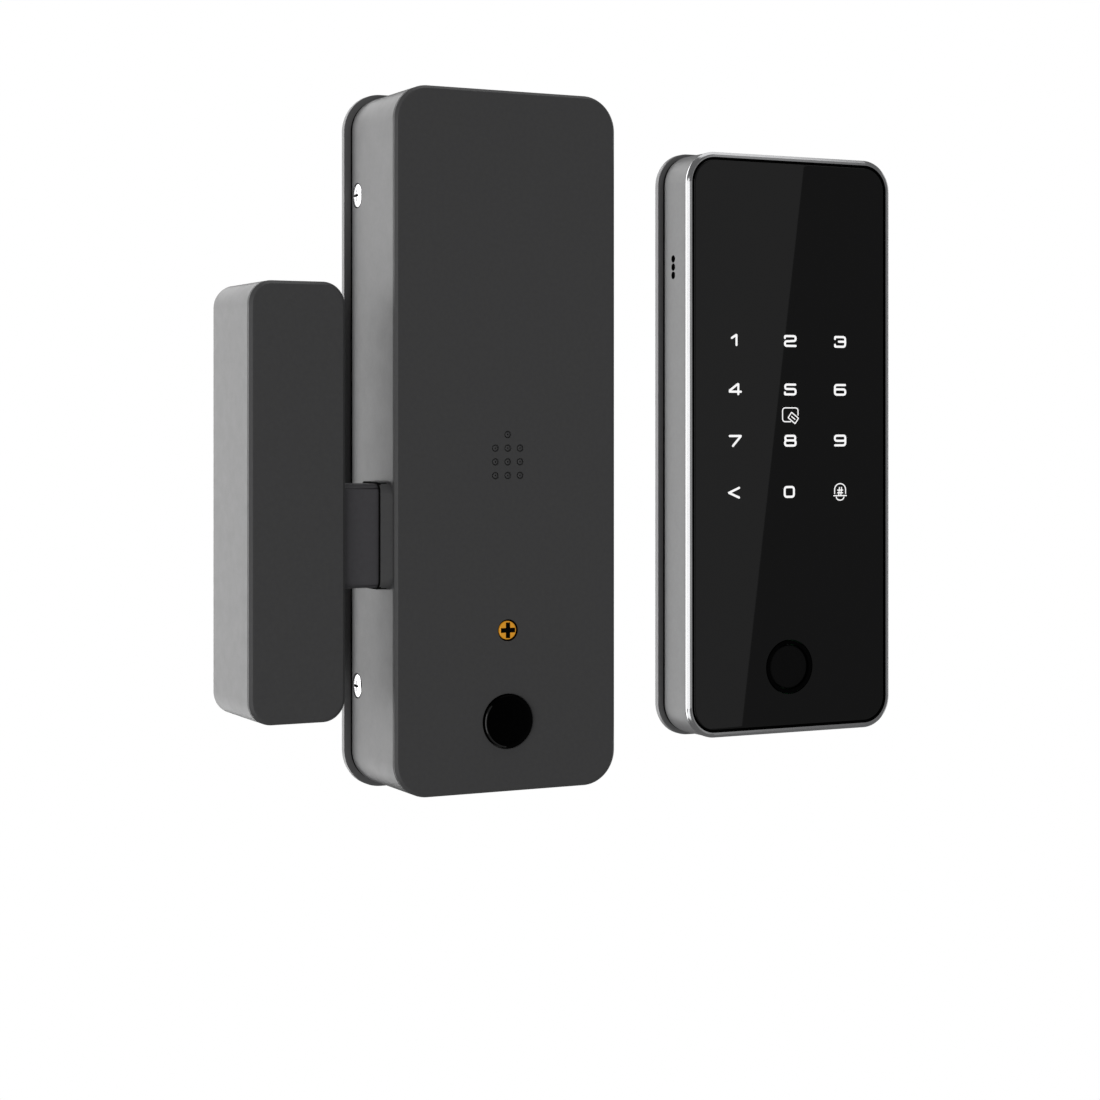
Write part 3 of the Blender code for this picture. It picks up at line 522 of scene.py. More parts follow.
PAINT = satin_paint("charcoal_paint", (0.124, 0.124, 0.126))
PLATE_PAINT = satin_paint("plate_paint", (0.235, 0.235, 0.238))
PAD_PAINT = satin_paint("graphite_paint", (0.255, 0.255, 0.258))
PAD_PLATE_PAINT = satin_paint("silver_paint", (0.34, 0.34, 0.345))
BOLT_COAT = satin_paint("bolt_coat", (0.135, 0.132, 0.142))
STEEL = plated_steel("plated_steel", (0.50, 0.50, 0.51), (0.64, 0.63, 0.60))
DULL_STEEL = plated_steel("dull_steel", (0.17, 0.17, 0.175), (0.22, 0.217, 0.21))
TRIM = bright_trim()
SCREW = plain("screw_metal", 0.2, 1.0, (0.90, 0.90, 0.91), (0.05, 1500), (0.14, 0.28, 1800),
              (3500, 2, 0.06, 0.01))
BRASS = plain("brass_metal", 0.3, 1.0, (0.84, 0.42, 0.035), (0.08, 1400), (0.24, 0.38, 1500),
              (3200, 3, 0.10, 0.01))
# The lacquered head is given a yellow glow (emission), painted light that keeps it yellow in shade.
BRASS_HEAD_GLOW = plain("lacquered_brass_glow", 0.35, 0.25, (0.90, 0.40, 0.03), (0.07, 1400), (0.3, 0.42, 1500),
                   (1.0, 2, 0.12, 0.01), (900, 900, 6000), Coat_Weight=0.4, Coat_Roughness=0.2,
                   Emission_Color=(0.62, 0.26, 0.012, 1), Emission_Strength=0.55)
# Near-black painted shade for the walls of a driver recess and of other openings where shade falls.
PAINTED_RECESS_SHADE = plain("painted_recess_shade", 0.85, 0.0, (0.004, 0.004, 0.004), (0.3, 2500), (0.75, 0.95, 2500),
               (5000, 2, 0.2, 0.01), Specular_IOR_Level=0.1)
# Near-black ring with little shine; its black is partly the ring's own colour and partly painted shade from
# the recess round the sensor.
RING = plain("ring_black", 0.5, 0.0, (0.0012, 0.0012, 0.0014), (0.12, 900), (0.42, 0.55, 1500),
             (3600, 1, 0.04, 0.01), Specular_IOR_Level=0.04)
COPPER = plain("copper_wire", 0.32, 1.0, (0.78, 0.36, 0.18), (0.08, 900), (0.26, 0.4, 900),
               (1.0, 1, 0.3, 0.05), (5200, 5200, 5200))
# The second finish is the same black with much more shine, for a painted highlight on one part of the
# button's edge.
GLOSS, GLOSS_HIGHLIGHT = [
    plain(name, 0.08, 0.0, (0.0003, 0.0003, 0.0004), (0.2, 600), (0.05, 0.12, 900),
          (300, 2, 0.02, 0.02), Specular_IOR_Level=specular)
    for name, specular in (("gloss_black", 0.04), ("gloss_highlight", 1.0))]
GLASS = black_glass()
READER = plain("reader_black", 0.35, 0.0, (0.0024, 0.0024, 0.0027), (0.12, 1200), (0.3, 0.42, 1500),
               (5200, 1, 0.06, 0.01), Specular_IOR_Level=0.2)
RUBBER = plain("black_rubber", 0.85, 0.0, (0.002, 0.002, 0.0022), (0.2, 1500), (0.7, 0.9, 1500),
               (4500, 3, 0.25, 0.02), Specular_IOR_Level=0.06)
PLASTIC = plain("black_plastic", 0.5, 0.0, (0.018, 0.018, 0.019), (0.12, 1300), (0.42, 0.6, 1600),
                (4200, 3, 0.25, 0.02))
NYLON = plain("natural_nylon", 0.42, 0.0, (0.74, 0.71, 0.62), (0.05, 500), (0.34, 0.5, 900),
              (3000, 3, 0.12, 0.02), Subsurface_Weight=0.15, Subsurface_Radius=(0.002, 0.0018, 0.0014))
BOARD = circuit_board()
GLOWING_INK = legend_ink()


# ---- shell profiles shared by the units

def plate_profile():
    """Closed plate with a rounded front edge; a flat strip next to each edge keeps the faces flat."""
    edge, back_edge = PLATE_EDGE, 0.2
    profile = [(edge + 0.5, -PLATE_T)]
    profile += [(edge - edge * out, -PLATE_T + edge * rise) for rise, out in arc(6)]
    return profile + [(0, -back_edge), (back_edge * 0.3, -back_edge * 0.3), (back_edge, 0),
                      (back_edge + 0.5, 0)]


def chamfered_profile(front, back, edge):
    """Closed plate with a flat 45 degree chamfer round its front, eased a little on both edges."""
    ease, back_edge = 0.05, 0.1
    return [(edge + 0.5, front), (edge + ease, front), (edge - ease, front + ease),
            (ease, front + edge - ease), (0, front + edge + ease), (0, back - back_edge * 0.5),
            (back_edge, back), (back_edge + 0.5, back)]


def tray_profile(front, back, wall, floor_front, floor_back, edge=PAINT_EDGE):
    profile = [(wall + 0.6, floor_front), (wall + 0.3, floor_front), (wall, floor_front - 0.3),
               (wall, front + 0.1), (wall - 0.1, front), (edge, front),
               (edge * 0.3, front + edge * 0.3), (0, front + edge), (0, front + edge + 0.3),
               (0, back - edge - 0.3), (0, back - edge), (edge * 0.3, back - edge * 0.3), (edge, back)]
    if floor_back < back:
        profile += [(wall - 0.1, back), (wall, back - 0.1), (wall, floor_back)]
    return profile


def countersunk_hole(x, z, radius, head_radius, face, sign):
    """Cutter for a screw hole whose cone opens at face, on the side that sign points away from."""
    cone = head_radius - radius
    profile = [(face - sign * 1, head_radius + 1), (face + sign * cone, radius), (face + sign * 4, radius)]
    if sign < 0:
        profile.reverse()
    return turned("hole", profile, (x, 0, z), "Y", 32)


def corners_of(dx, dz):
    return [(side * dx, end * dz) for side in (-1, 1) for end in (-1, 1)]


def back_plate(name, span, radius, centre, screws, slot, slot_z, more=()):
    """Plate with four countersunk holes at +-screws from its centre, a cable slot and any other cuts."""
    made = shell(name, span.size, radius, plate_profile(), centre)
    tools = [countersunk_hole(centre[0] + dx, centre[1] + dz, PLATE_HOLE_R, PLATE_CONE_R, -PLATE_T, 1)
             for dx, dz in corners_of(*screws)]
    tools += more
    tools.append(slot_cutter(slot, (centre[0], slot_z), -PLATE_T - 2, 1))
    return carve(made, tools)


def seal(name, node, size, radius, centre, inner, ease):
    """Rubber ring, almost flush with the walls in front of it and behind it."""
    span = Span(node)
    front, back = span.low[1] - SEAL_SWELL, span.high[1] + SEAL_SWELL
    outer = SEAL_INSET
    profile = [(outer + 0.2, front), (outer, front + 0.2), (outer, back - 0.2), (outer + 0.2, back),
               (inner - ease, back), (inner, back - 0.2), (inner, front + 0.2), (inner - ease, front)]
    made = shell(name, size, radius, profile, centre, loop=True)
    return dress(made, node, RUBBER)


# ---- lock body

LOCK = Span("lock_front_cover")
LOCK_PLATE = Span("lock_back_plate")
HOUSING = Span("lock_housing")
BOLT = Span("latch_bolt")
BUTTON = Span("unlock_button")
COVER_SCREW = Span("cover_screw")
LOCK_R = 9.5
LOCK_WALL = 2.0
COVER_T = 1.3
COVER_EDGE = 0.8
SIDE_SCREW_Y = -7.45
SIDE_HEAD_SINK = 0.25
SIDE_SCREW_Z = 67.4
SIDE_BORE_R = 1.6
SIDE_SEAT_R = 3.5
SIDE_SEAT_DEPTH = 0.7
LUG_T = 2.4
LUG_DEPTH = 10.8
LUG_HALF_H = 6.0
LUG_BORE_R = 1.55
POST_R = 3.4
POST_BORE_R = 1.6
CABLE_Z = -66.0
PLATE_SCREWS = (20.0, 84.0)
PLATE_R = LOCK_R + 1.35
FLOOR_FRONT = -12.8
FLOOR_BACK = -11.3
BOSS_RIM = 0.5
BOSS_FLARE = 1.1
BOSS_SWELL = 0.1
BOSS_R = 2.8
BOSS_SOFTENING = 1.0
BOSS_END = HOUSING.low[0]
BOSS_FRONT = -31.5
BOSS_BACK = -17.4
BOLT_FIT = 0.22
PASSAGE_R = 2.4
BOLT_EDGE_R = 2.1
SOUND_PITCH = 3.7
SOUND_TOP_Z = 1.75
BUTTON_FACE_R = 7.15
BUTTON_EDGE = 0.45
BUTTON_FLANGE = 0.9
STEM_R = 2.0
HEAD_CROSS = (3.3, 0.75)      # arm and width of the side screws' recess
COVER_CROSS = (4.45, 1.35)
SIDE_HEAD_R = 3.2
SIDE_HEAD_FLAT = 0.6          # radius of the flat middle of its dome
SHANK_R = 1.25
COVER_HEAD_R = 2.5
COVER_SEAT_R = 2.98
COVER_SHANK_R = 1.35
RACK_START = -23.6            # where the bolt's head ends and its rack begins
TIP_EDGE = 1.0


def lock_back_plate():
    made = back_plate("back_plate", LOCK_PLATE, PLATE_R, (0, 0), PLATE_SCREWS, (18, 12, 2), CABLE_Z)
    outer = LOCK.size[0] / 2 - LOCK_WALL - 0.3
    lugs = []
    for side, z in corners_of(1, SIDE_SCREW_Z):
        edges = (side * (outer - LUG_T), side * outer)
        lugs.append(lug_shape(min(edges), max(edges), z))
    carve(made, lugs, "UNION")
    return dress(made, "lock_back_plate", PLATE_PAINT)


def lug_shape(x_low, x_high, z):
    """Forward-bent ear with a rounded end and its tapped hole."""
    depth, half = -LUG_DEPTH, LUG_HALF_H
    upper = [(-1.6, half), (depth + 1.5, half), (depth + 0.4, half - 0.4), (depth, half - 1.5)]
    outline = [(y, z + dz) for y, dz in upper] + [(y, z - dz) for y, dz in reversed(upper)]
    made = loft("lug", [at_x(outline, x) for x in (x_low, x_high)])
    return carve(made, [cylinder(x_low - 1, x_high + 1, LUG_BORE_R, (0, SIDE_SCREW_Y, z), "X", 24)])


def lock_gasket():
    return seal("gasket", "lock_gasket", LOCK.size, LOCK_R, (0, 0), 1.95, 0.15)


def boss_ring(part, wall_x, front_at_wall):
    """Cross-section of the fairing, part of the way from the wall (0) to its end (1)."""
    x = wall_x + (BOSS_END - wall_x) * part
    spread = (1 - part) ** 2
    front = BOSS_FRONT + (front_at_wall - BOSS_FRONT) * (1 - part)
    back = BOSS_BACK + BOSS_FLARE * spread
    half = BOLT.size[2] / 2 + BOSS_RIM + BOSS_SWELL * spread
    outline = rounded(back - front, 2 * half, BOSS_R + BOSS_SOFTENING * spread, 8)
    return at_x(outline, x, ((front + back) / 2, BOLT.mid[2]))


def bolt_passage(x_low, x_high):
    outline = rounded(BOLT.size[1] + 2 * BOLT_FIT, BOLT.size[2] + 2 * BOLT_FIT, PASSAGE_R, 10)
    centre = (BOLT.mid[1], BOLT.mid[2])
    return loft("passage", [at_x(outline, x, centre) for x in (x_low, x_high)])


def in_bolt_passage(at):
    """The end of the fairing and the walls of the opening behind it, which get painted shade for the dark
    line round the bolt.
    """
    half_y = BOLT.size[1] / 2 + BOLT_FIT + 0.02
    half_z = BOLT.size[2] / 2 + BOLT_FIT + 0.02
    inside = abs(at[1] - BOLT.mid[1]) < half_y and abs(at[2] - BOLT.mid[2]) < half_z
    return at[0] < BOSS_END + 0.22 or inside and at[0] < -LOCK.size[0] / 2 + LOCK_WALL - 0.1


def bolt_fairing(wall_x, front):
    rings = [boss_ring(step / 10, wall_x, front) for step in range(11)]
    rim = rings[-1]
    centre_y = (BOSS_FRONT + BOSS_BACK) / 2
    rings[-1] = [(x + 0.25, y, z) for x, y, z in rim]
    rings.append([(x, centre_y + (y - centre_y) * 0.965, BOLT.mid[2] + (z - BOLT.mid[2]) * 0.984)
                  for x, y, z in rim])
    rings.insert(0, [(x + 1.0, y, z) for x, y, z in rings[0]])
    return loft("boss", rings, angle=50)


def side_screw_cuts():
    tools = []
    for side, z in corners_of(1, SIDE_SCREW_Z):
        face = side * LOCK.size[0] / 2
        centre = (0, SIDE_SCREW_Y, z)
        tools.append(cylinder(face + side, face - side * 3, SIDE_BORE_R, centre, "X", 24))
        tools.append(cylinder(face + side, face - side * SIDE_SEAT_DEPTH, SIDE_SEAT_R, centre, "X", 40))
    return tools


def lock_housing():
    front, back = HOUSING.low[1], HOUSING.high[1]
    wall_x = -LOCK.size[0] / 2
    profile = tray_profile(front, back, LOCK_WALL, FLOOR_FRONT, FLOOR_BACK, 0.1)
    made = shell("housing", LOCK.size, LOCK_R, profile, (0, 0), steps=28)
    place = (0, 0, COVER_SCREW.mid[2])
    post = turned("post", [(front + 0.6, POST_R - 0.8), (front + 0.7, POST_R - 0.2), (front + 0.9, POST_R),
                           (FLOOR_BACK - 0.5, POST_R)], place, "Y", 32)
    carve(made, [bolt_fairing(wall_x, front), post], "UNION")
    tools = [bolt_passage(BOSS_END - 1, wall_x + LOCK_WALL + 1),
             cylinder(front - 1, -20, POST_BORE_R, place, "Y", 24),
             slot_cutter((15, 9, 1.5), (0, CABLE_Z), -14, -10)]
    carve(made, tools + side_screw_cuts())
    # Painted shade on the end of the fairing and the walls of the bolt opening.
    tint(made, PAINT, PAINTED_RECESS_SHADE, in_bolt_passage)
    return dress(made, "lock_housing", PAINT)


def sound_grid():
    """One hole on top of three rows of three."""
    return [(0, 0)] + [(column, row) for row in (1, 2, 3) for column in (-1, 0, 1)]


def sound_dimple(x, z, face):
    """Cutter for one sound hole: a ring groove round a slightly sunk pad with a pinhole."""
    depth = 0.55
    profile = [(face - 0.5, 1.03), (face + 0.05, 1.03), (face + depth, 0.97), (face + depth, 0.82),
               (face + 0.16, 0.66), (face + 0.07, 0.5), (face + 0.07, 0.22), (face + 0.9, 0.16)]
    return turned("dimple", profile, (x, 0, z), "Y", 32)


def cover_rib(back):
    """Locating rib behind the cover, open beside the bolt."""
    inner, rib_t, gap_half = LOCK_WALL + 0.3, 0.8, 17
    profile = [(inner, back - 0.4), (inner, back + rib_t), (inner + rib_t, back + rib_t),
               (inner + rib_t, back - 0.4)]
    rib = shell("rib", LOCK.size, LOCK_R, profile, (0, 0), loop=True)
    z = BOLT.mid[2]
    return carve(rib, [block("gap", (-40, back - 1.4, z - gap_half), (-20, back + 2.6, z + gap_half))])


# Faces of the cover screw's seat, which get painted shade.
def in_screw_seat(at):
    return at[1] > LOCK.low[1] + 0.02 and math.hypot(at[0], at[2] - COVER_SCREW.mid[2]) < COVER_SEAT_R - 0.01


def lock_front_cover():
    front = LOCK.low[1]
    back = front + COVER_T
    profile = chamfered_profile(front, back, COVER_EDGE)
    made = shell("front_cover", LOCK.size, LOCK_R, profile, (0, 0), steps=28)
    carve(made, [cover_rib(back)], "UNION")
    radius = BUTTON_FACE_R + 0.3
    hole = [(front - 1, radius + 0.12), (front, radius + 0.12), (front + 0.12, radius), (back + 1, radius)]
    radius = COVER_SEAT_R - 0.05
    seat = [(front - 1, COVER_SEAT_R), (front, COVER_SEAT_R), (front + 0.05, radius), (front + 0.95, radius),
            (front + 0.95, 1.75), (back + 1, 1.75)]
    tools = [turned("button_hole", hole, (0, 0, BUTTON.mid[2]), "Y", 96),
             turned("screw_seat", seat, (0, 0, COVER_SCREW.mid[2]), "Y", 48)]
    tools.append(join("dimples", [sound_dimple(column * SOUND_PITCH, SOUND_TOP_Z - row * SOUND_PITCH, front)
                                  for column, row in sound_grid()]))
    carve(made, tools)
    # Painted shade in the screw seat.
    tint(made, PAINT, PAINTED_RECESS_SHADE, in_screw_seat)
    return dress(made, "lock_front_cover", PAINT)


def on_bright_arc(at):
    """The lower left part of the button's rounded edge, made far more reflective than the rest so that a
    painted highlight shows only there.
    """
    dz = at[2] - BUTTON.mid[2]
    return at[0] < -0.8 and dz < 0.62 * BUTTON_FACE_R and math.hypot(at[0], dz) > BUTTON_FACE_R - BUTTON_EDGE


def unlock_button():
    """Gloss button: flat face, rounded edge, flange and stem behind the cover."""
    top = BUTTON.low[1]
    seat = LOCK.low[1] + COVER_T + 0.3
    radius, edge = BUTTON_FACE_R, BUTTON_EDGE
    profile = [(top, radius - edge - 0.6), (top, radius - edge)]
    profile += [(top + edge * rise, radius - edge + edge * out) for rise, out in arc(8, 1)]
    profile += [(seat, radius), (seat, radius + BUTTON_FLANGE), (seat + 1, radius + BUTTON_FLANGE),
                (seat + 1, STEM_R), (BUTTON.high[1] - 0.2, STEM_R), (BUTTON.high[1], STEM_R - 0.2)]
    made = turned("button", profile, (0, 0, BUTTON.mid[2]), "Y", 96)
    tint(made, GLOSS, GLOSS_HIGHLIGHT, on_bright_arc)
    return dress(made, "unlock_button", GLOSS)


def cross_tools(centre, axis, low, high, cross):
    """Two tapered bars that cut a cross recess; low is the open end, and cross its arm and width."""
    place, middle = across(axis, centre)
    tools = []
    for half_a, half_b in ((cross[0] / 2, cross[1] / 2), (cross[1] / 2, cross[0] / 2)):
        rings = []
        for position, scale in ((low, 1.0), (high, 0.86)):
            a, b = half_a * scale, half_b * scale
            rings.append(place([(a, b), (-a, b), (-a, -b), (a, -b)], position, middle))
        tool = loft("cross", rings)
        # The faces that these bars cut get painted shade, so the cross reads dark.
        tool.data.materials.append(PAINTED_RECESS_SHADE)
        tools.append(tool)
    return tools


def housing_screw(node):
    """Pan-head cross screw, lying along X."""
    span = Span(node)
    side = 1 if span.mid[0] > 0 else -1
    outer, inner = span.high[0], span.low[0]
    if side < 0:
        outer, inner = inner, outer
    outer -= side * SIDE_HEAD_SINK
    seat = side * (LOCK.size[0] / 2 - 0.4)
    dome = 0.62 * abs(outer - seat)
    profile = [(outer, SIDE_HEAD_FLAT)]
    profile += [(outer - side * dome * rise, SIDE_HEAD_FLAT + (SIDE_HEAD_R - SIDE_HEAD_FLAT) * out)
                for rise, out in arc(8, 1)]
    profile += [(seat, SIDE_HEAD_R), (seat, SHANK_R), (inner + side * 0.4, SHANK_R), (inner, 0.9)]
    centre = (0, span.mid[1], span.mid[2])
    made = turned(node + "_fine", profile, centre, "X", 48)
    made.data.materials.append(SCREW)
    carve(made, cross_tools(centre, "X", outer + side * 0.3, outer - side * 0.45, HEAD_CROSS))
    return dress(made, node, SCREW)


def cover_screw():
    top = COVER_SCREW.low[1]
    end = COVER_SCREW.high[1]
    back = LOCK.low[1] + 0.7
    centre = (0, 0, COVER_SCREW.mid[2])
    profile = [(top, 2.0), (top, 2.15), (top + 0.05, 2.32), (top + 0.16, 2.45), (top + 0.32, COVER_HEAD_R),
               (back, COVER_HEAD_R), (back, COVER_SHANK_R), (end - 0.5, COVER_SHANK_R), (end, 0.9)]
    made = turned("cover_screw_fine", profile, centre, "Y", 64)
    made.data.materials.append(BRASS_HEAD_GLOW)
    carve(made, cross_tools(centre, "Y", top - 0.3, top + 0.7, COVER_CROSS))
    return dress(made, "cover_screw", BRASS_HEAD_GLOW)


def latch_bolt():
    """Painted bolt with softly rounded long edges; its tail is the rack."""
    centre = (BOLT.mid[1], BOLT.mid[2])
    stations = [(BOLT.low[0] + TIP_EDGE * rise, TIP_EDGE * (1 - out)) for rise, out in arc(6)]
    stations.append((RACK_START, 0))
    made = loft("bolt", [at_x(inset(BOLT.size[1], BOLT.size[2], BOLT_EDGE_R, shrink, 8), x, centre)
                         for x, shrink in stations])
    rack = add_object("rack", frame["nodes"]["latch_bolt"].data.copy())
    rack.data.materials.clear()
    clean(rack)
    carve(rack, [block("front_part", (-70, -40, -60), (RACK_START - 1, 0, 0))])
    carve(made, [rack], "UNION")
    return dress(made, "latch_bolt", BOLT_COAT)


# ---- mechanism and electrics

def batteries():
    for index in range(1, 5):
        node = "battery_" + str(index)
        span = Span(node)
        low, high = span.low[2], span.high[2]
        radius = span.size[0] / 2
        profile = [(low, 4.6), (low, 5.0), (low + 0.25, 5.2), (low + 0.25, radius - 0.9), (low, radius - 0.6),
                   (low + 0.12, radius - 0.2), (low + 0.5, radius), (high - 2.0, radius),
                   (high - 1.7, radius - 0.1), (high - 1.5, radius - 0.4), (high - 1.5, 3.4),
                   (high - 1.3, 3.1), (high - 1.2, 2.75), (high - 0.25, 2.7), (high - 0.05, 2.5), (high, 2.2)]
        made = turned(node + "_fine", profile, span.mid, "Z", 48)
        dress(made, node, cell_sleeve(low, high))


def mechanism():
    finishes = {"drive_gear": NYLON, "gear_axle": STEEL, "motor_pinion": BRASS, "gear_motor": STEEL,
                "motor_strap": STEEL, "mechanism_plate": STEEL, "bolt_guide_upper": NYLON,
                "bolt_guide_lower": NYLON, "control_board": BOARD, "button_switch": PLASTIC,
                "lock_cable_socket": NYLON, "buzzer": PLASTIC, "battery_tray": PLASTIC,
                "battery_contact_lower": SCREW, "battery_contact_upper": SCREW,
                "strike_mounting_plate": DULL_STEEL, "strike_keeper": STEEL, "strike_magnet": SCREW,
                "strike_screw_upper": SCREW, "strike_screw_lower": SCREW,
                "keypad_screw_upper": SCREW, "keypad_screw_lower": SCREW,
                "touch_board": BOARD, "card_antenna": COPPER, "keypad_speaker": PLASTIC,
                "keypad_cable_socket": NYLON}
    thin = ("motor_pinion", "drive_gear", "battery_contact_lower", "battery_contact_upper")
    for node, finish in finishes.items():
        refine(node, finish, 0.05 if node in thin else 0.12)


# ---- strike box

STRIKE = Span("strike_housing")
STRIKE_COVER = Span("strike_front_cover")
STRIKE_R = 6.2
STRIKE_WALL = 1.8
STRIKE_FLOOR_T = 2.0
STRIKE_COVER_EDGE = 0.85
STRIKE_SCREW_DZ = 42
MOUTH_EASE = 0.8
MOUTH_BACK = -17.7


def strike_housing():
    centre = (STRIKE.mid[0], STRIKE.mid[2])
    front, back, right = STRIKE.low[1], STRIKE.high[1], STRIKE.high[0]
    floor = back - STRIKE_FLOOR_T
    profile = tray_profile(front, back, STRIKE_WALL, floor, back)
    made = shell("strike_case", STRIKE.size, STRIKE_R, profile, centre)
    tools = [block("mouth", (right - 4, front - 1, BOLT.low[2] - MOUTH_EASE),
                   (right + 1, MOUTH_BACK, BOLT.high[2] + MOUTH_EASE))]
    for end in (-1, 1):
        tools.append(countersunk_hole(centre[0], centre[1] + end * STRIKE_SCREW_DZ, 2.3, 2.6, floor, 1))
    carve(made, tools)
    return dress(made, "strike_housing", PAINT)


def strike_front_cover():
    centre = (STRIKE_COVER.mid[0], STRIKE_COVER.mid[2])
    profile = chamfered_profile(STRIKE_COVER.low[1], STRIKE_COVER.high[1], STRIKE_COVER_EDGE)
    made = shell("strike_cover", STRIKE_COVER.size, STRIKE_R, profile, centre)
    return dress(made, "strike_front_cover", PAINT)


# ---- keypad

PAD_BEZEL = Span("keypad_bezel")
PAD_HOUSING = Span("keypad_housing")
PAD_PLATE = Span("keypad_back_plate")
PAD_GLASS = Span("keypad_glass")
READER_RING = Span("fingerprint_ring")
PAD_CENTRE = (PAD_BEZEL.mid[0], PAD_BEZEL.mid[2])
PAD_R = 9.2
PAD_PLATE_R = PAD_R + 0.75
PAD_EDGE_W = 0.8
PAD_EDGE_H = 0.62
PAD_SIDE = 0.1
BEZEL_W = 1.5
BEZEL_SEAT = 1.2
PAD_WALL = 2.0
PAD_FLOOR = -5.1
PAD_HOLES = (22, 62)
PAD_SCREW_DZ = 74
PAD_CABLE_Z = -30
PAD_POST_R = 3.2
PAD_POST_BORE_R = 1.5
SIDE_HOLE_Y = -8.5
SIDE_HOLE_TOP_Z = 53.0
SIDE_HOLE_PITCH = 2.4
SIDE_HOLE_R = 0.95
RING_W = 1.05


def keypad_back_plate():
    screws = [countersunk_hole(PAD_CENTRE[0], PAD_CENTRE[1] + end * PAD_SCREW_DZ, 1.7, 1.9, 0, -1)
              for end in (-1, 1)]
    made = back_plate("keypad_plate", PAD_PLATE, PAD_PLATE_R, PAD_CENTRE, PAD_HOLES, (16, 11, 2), PAD_CABLE_Z,
                      screws)
    return dress(made, "keypad_back_plate", PAD_PLATE_PAINT)


def keypad_gasket():
    return seal("keypad_seal", "keypad_gasket", PAD_HOUSING.size, PAD_R - PAD_SIDE, PAD_CENTRE, 3.5, 0.2)


# Walls of the keypad's side holes, which get painted shade.
def in_side_hole(at):
    depth = at[0] - PAD_HOUSING.low[0]
    return 0.01 < depth < PAD_WALL and abs(at[1] - SIDE_HOLE_Y) < 1.2 and 46 < at[2] < 55


def keypad_housing():
    front, back = PAD_HOUSING.low[1], PAD_HOUSING.high[1]
    profile = tray_profile(front, back, PAD_WALL, PAD_FLOOR, back, 0.15)
    made = shell("keypad_case", PAD_HOUSING.size, PAD_R - PAD_SIDE, profile, PAD_CENTRE)
    screws = [(PAD_CENTRE[0], 0, PAD_CENTRE[1] + end * PAD_SCREW_DZ) for end in (-1, 1)]
    post = [(-11, PAD_POST_R - 0.2), (-10.8, PAD_POST_R), (-4.5, PAD_POST_R)]
    posts = [turned("post", post, place, "Y", 32) for place in screws]
    carve(made, posts, "UNION")
    left = PAD_HOUSING.low[0]
    mouth = [(left - 1, SIDE_HOLE_R + 0.15), (left, SIDE_HOLE_R + 0.15), (left + 0.15, SIDE_HOLE_R),
             (left + PAD_WALL + 1, SIDE_HOLE_R)]
    tools = [turned("side_hole", mouth, (0, SIDE_HOLE_Y, SIDE_HOLE_TOP_Z - SIDE_HOLE_PITCH * index), "X", 32)
             for index in range(3)]
    tools.append(slot_cutter((13, 9, 1.5), (PAD_CENTRE[0], PAD_CABLE_Z), -6, -2))
    tools += [cylinder(-9.5, -2, PAD_POST_BORE_R, place, "Y", 24) for place in screws]
    carve(made, tools)
    # Painted shade inside the side holes.
    tint(made, PAD_PAINT, PAINTED_RECESS_SHADE, in_side_hole)
    return dress(made, "keypad_housing", PAD_PAINT)


def in_pocket(at, half_w, half_h):
    """Whether a point lies inside the rim's inner outline."""
    x, z = abs(at[0] - PAD_CENTRE[0]), abs(at[2] - PAD_CENTRE[1])
    radius = PAD_R - BEZEL_W
    dx, dz = max(x - half_w + radius, 0), max(z - half_h + radius, 0)
    return x < half_w and z < half_h and math.hypot(dx, dz) < radius


def keypad_bezel():
    """Bright frame: flat rim, crisp chamfer, short side and a skirt inside the housing."""
    front = PAD_BEZEL.low[1]
    back = front + BEZEL_SEAT
    skirt = PAD_SIDE + PAD_WALL + 0.3
    deep = PAD_BEZEL.high[1]
    pocket = PAD_GLASS.high[1] + 0.25
    edge_w, edge_h, ease = PAD_EDGE_W, PAD_EDGE_H, 0.03
    profile = [(BEZEL_W, front + 2 * ease), (BEZEL_W - ease, front), (edge_w + ease, front),
               (edge_w - ease, front + ease), (ease, front + edge_h - ease), (0, front + edge_h + ease),
               (0, back - ease), (ease, back), (skirt, back), (skirt, deep), (skirt + 1.2, deep),
               (skirt + 1.2, pocket), (BEZEL_W, pocket)]
    made = shell("bezel", PAD_BEZEL.size, PAD_R, profile, PAD_CENTRE, loop=True, steps=28)
    half_w = PAD_BEZEL.size[0] / 2 - BEZEL_W + ease / 3
    half_h = PAD_BEZEL.size[2] / 2 - BEZEL_W + ease / 3
    # The faces inside the pocket get the black rubber colour: painted shade that makes the gap round the
    # glass read black.
    tint(made, TRIM, RUBBER, lambda at: at[1] > front + 1.5 * ease and in_pocket(at, half_w, half_h))
    return dress(made, "keypad_bezel", TRIM)


def keypad_glass():
    front, back = PAD_GLASS.low[1], PAD_GLASS.high[1]
    inset_by = PAD_BEZEL.size[0] / 2 - PAD_GLASS.size[0] / 2
    profile = [(0.55, front), (0.2, front), (0.1, front + 0.04), (0.03, front + 0.1), (0, front + 0.2),
               (0, back), (0.5, back)]
    made = shell("cover_glass", PAD_GLASS.size, PAD_R - inset_by, profile, PAD_CENTRE, steps=28)
    radius = READER_RING.size[0] / 2 + 0.3
    carve(made, [cylinder(front - 1, back + 1, radius, READER_RING.mid, "Y", 96)])
    return dress(made, "keypad_glass", GLASS)


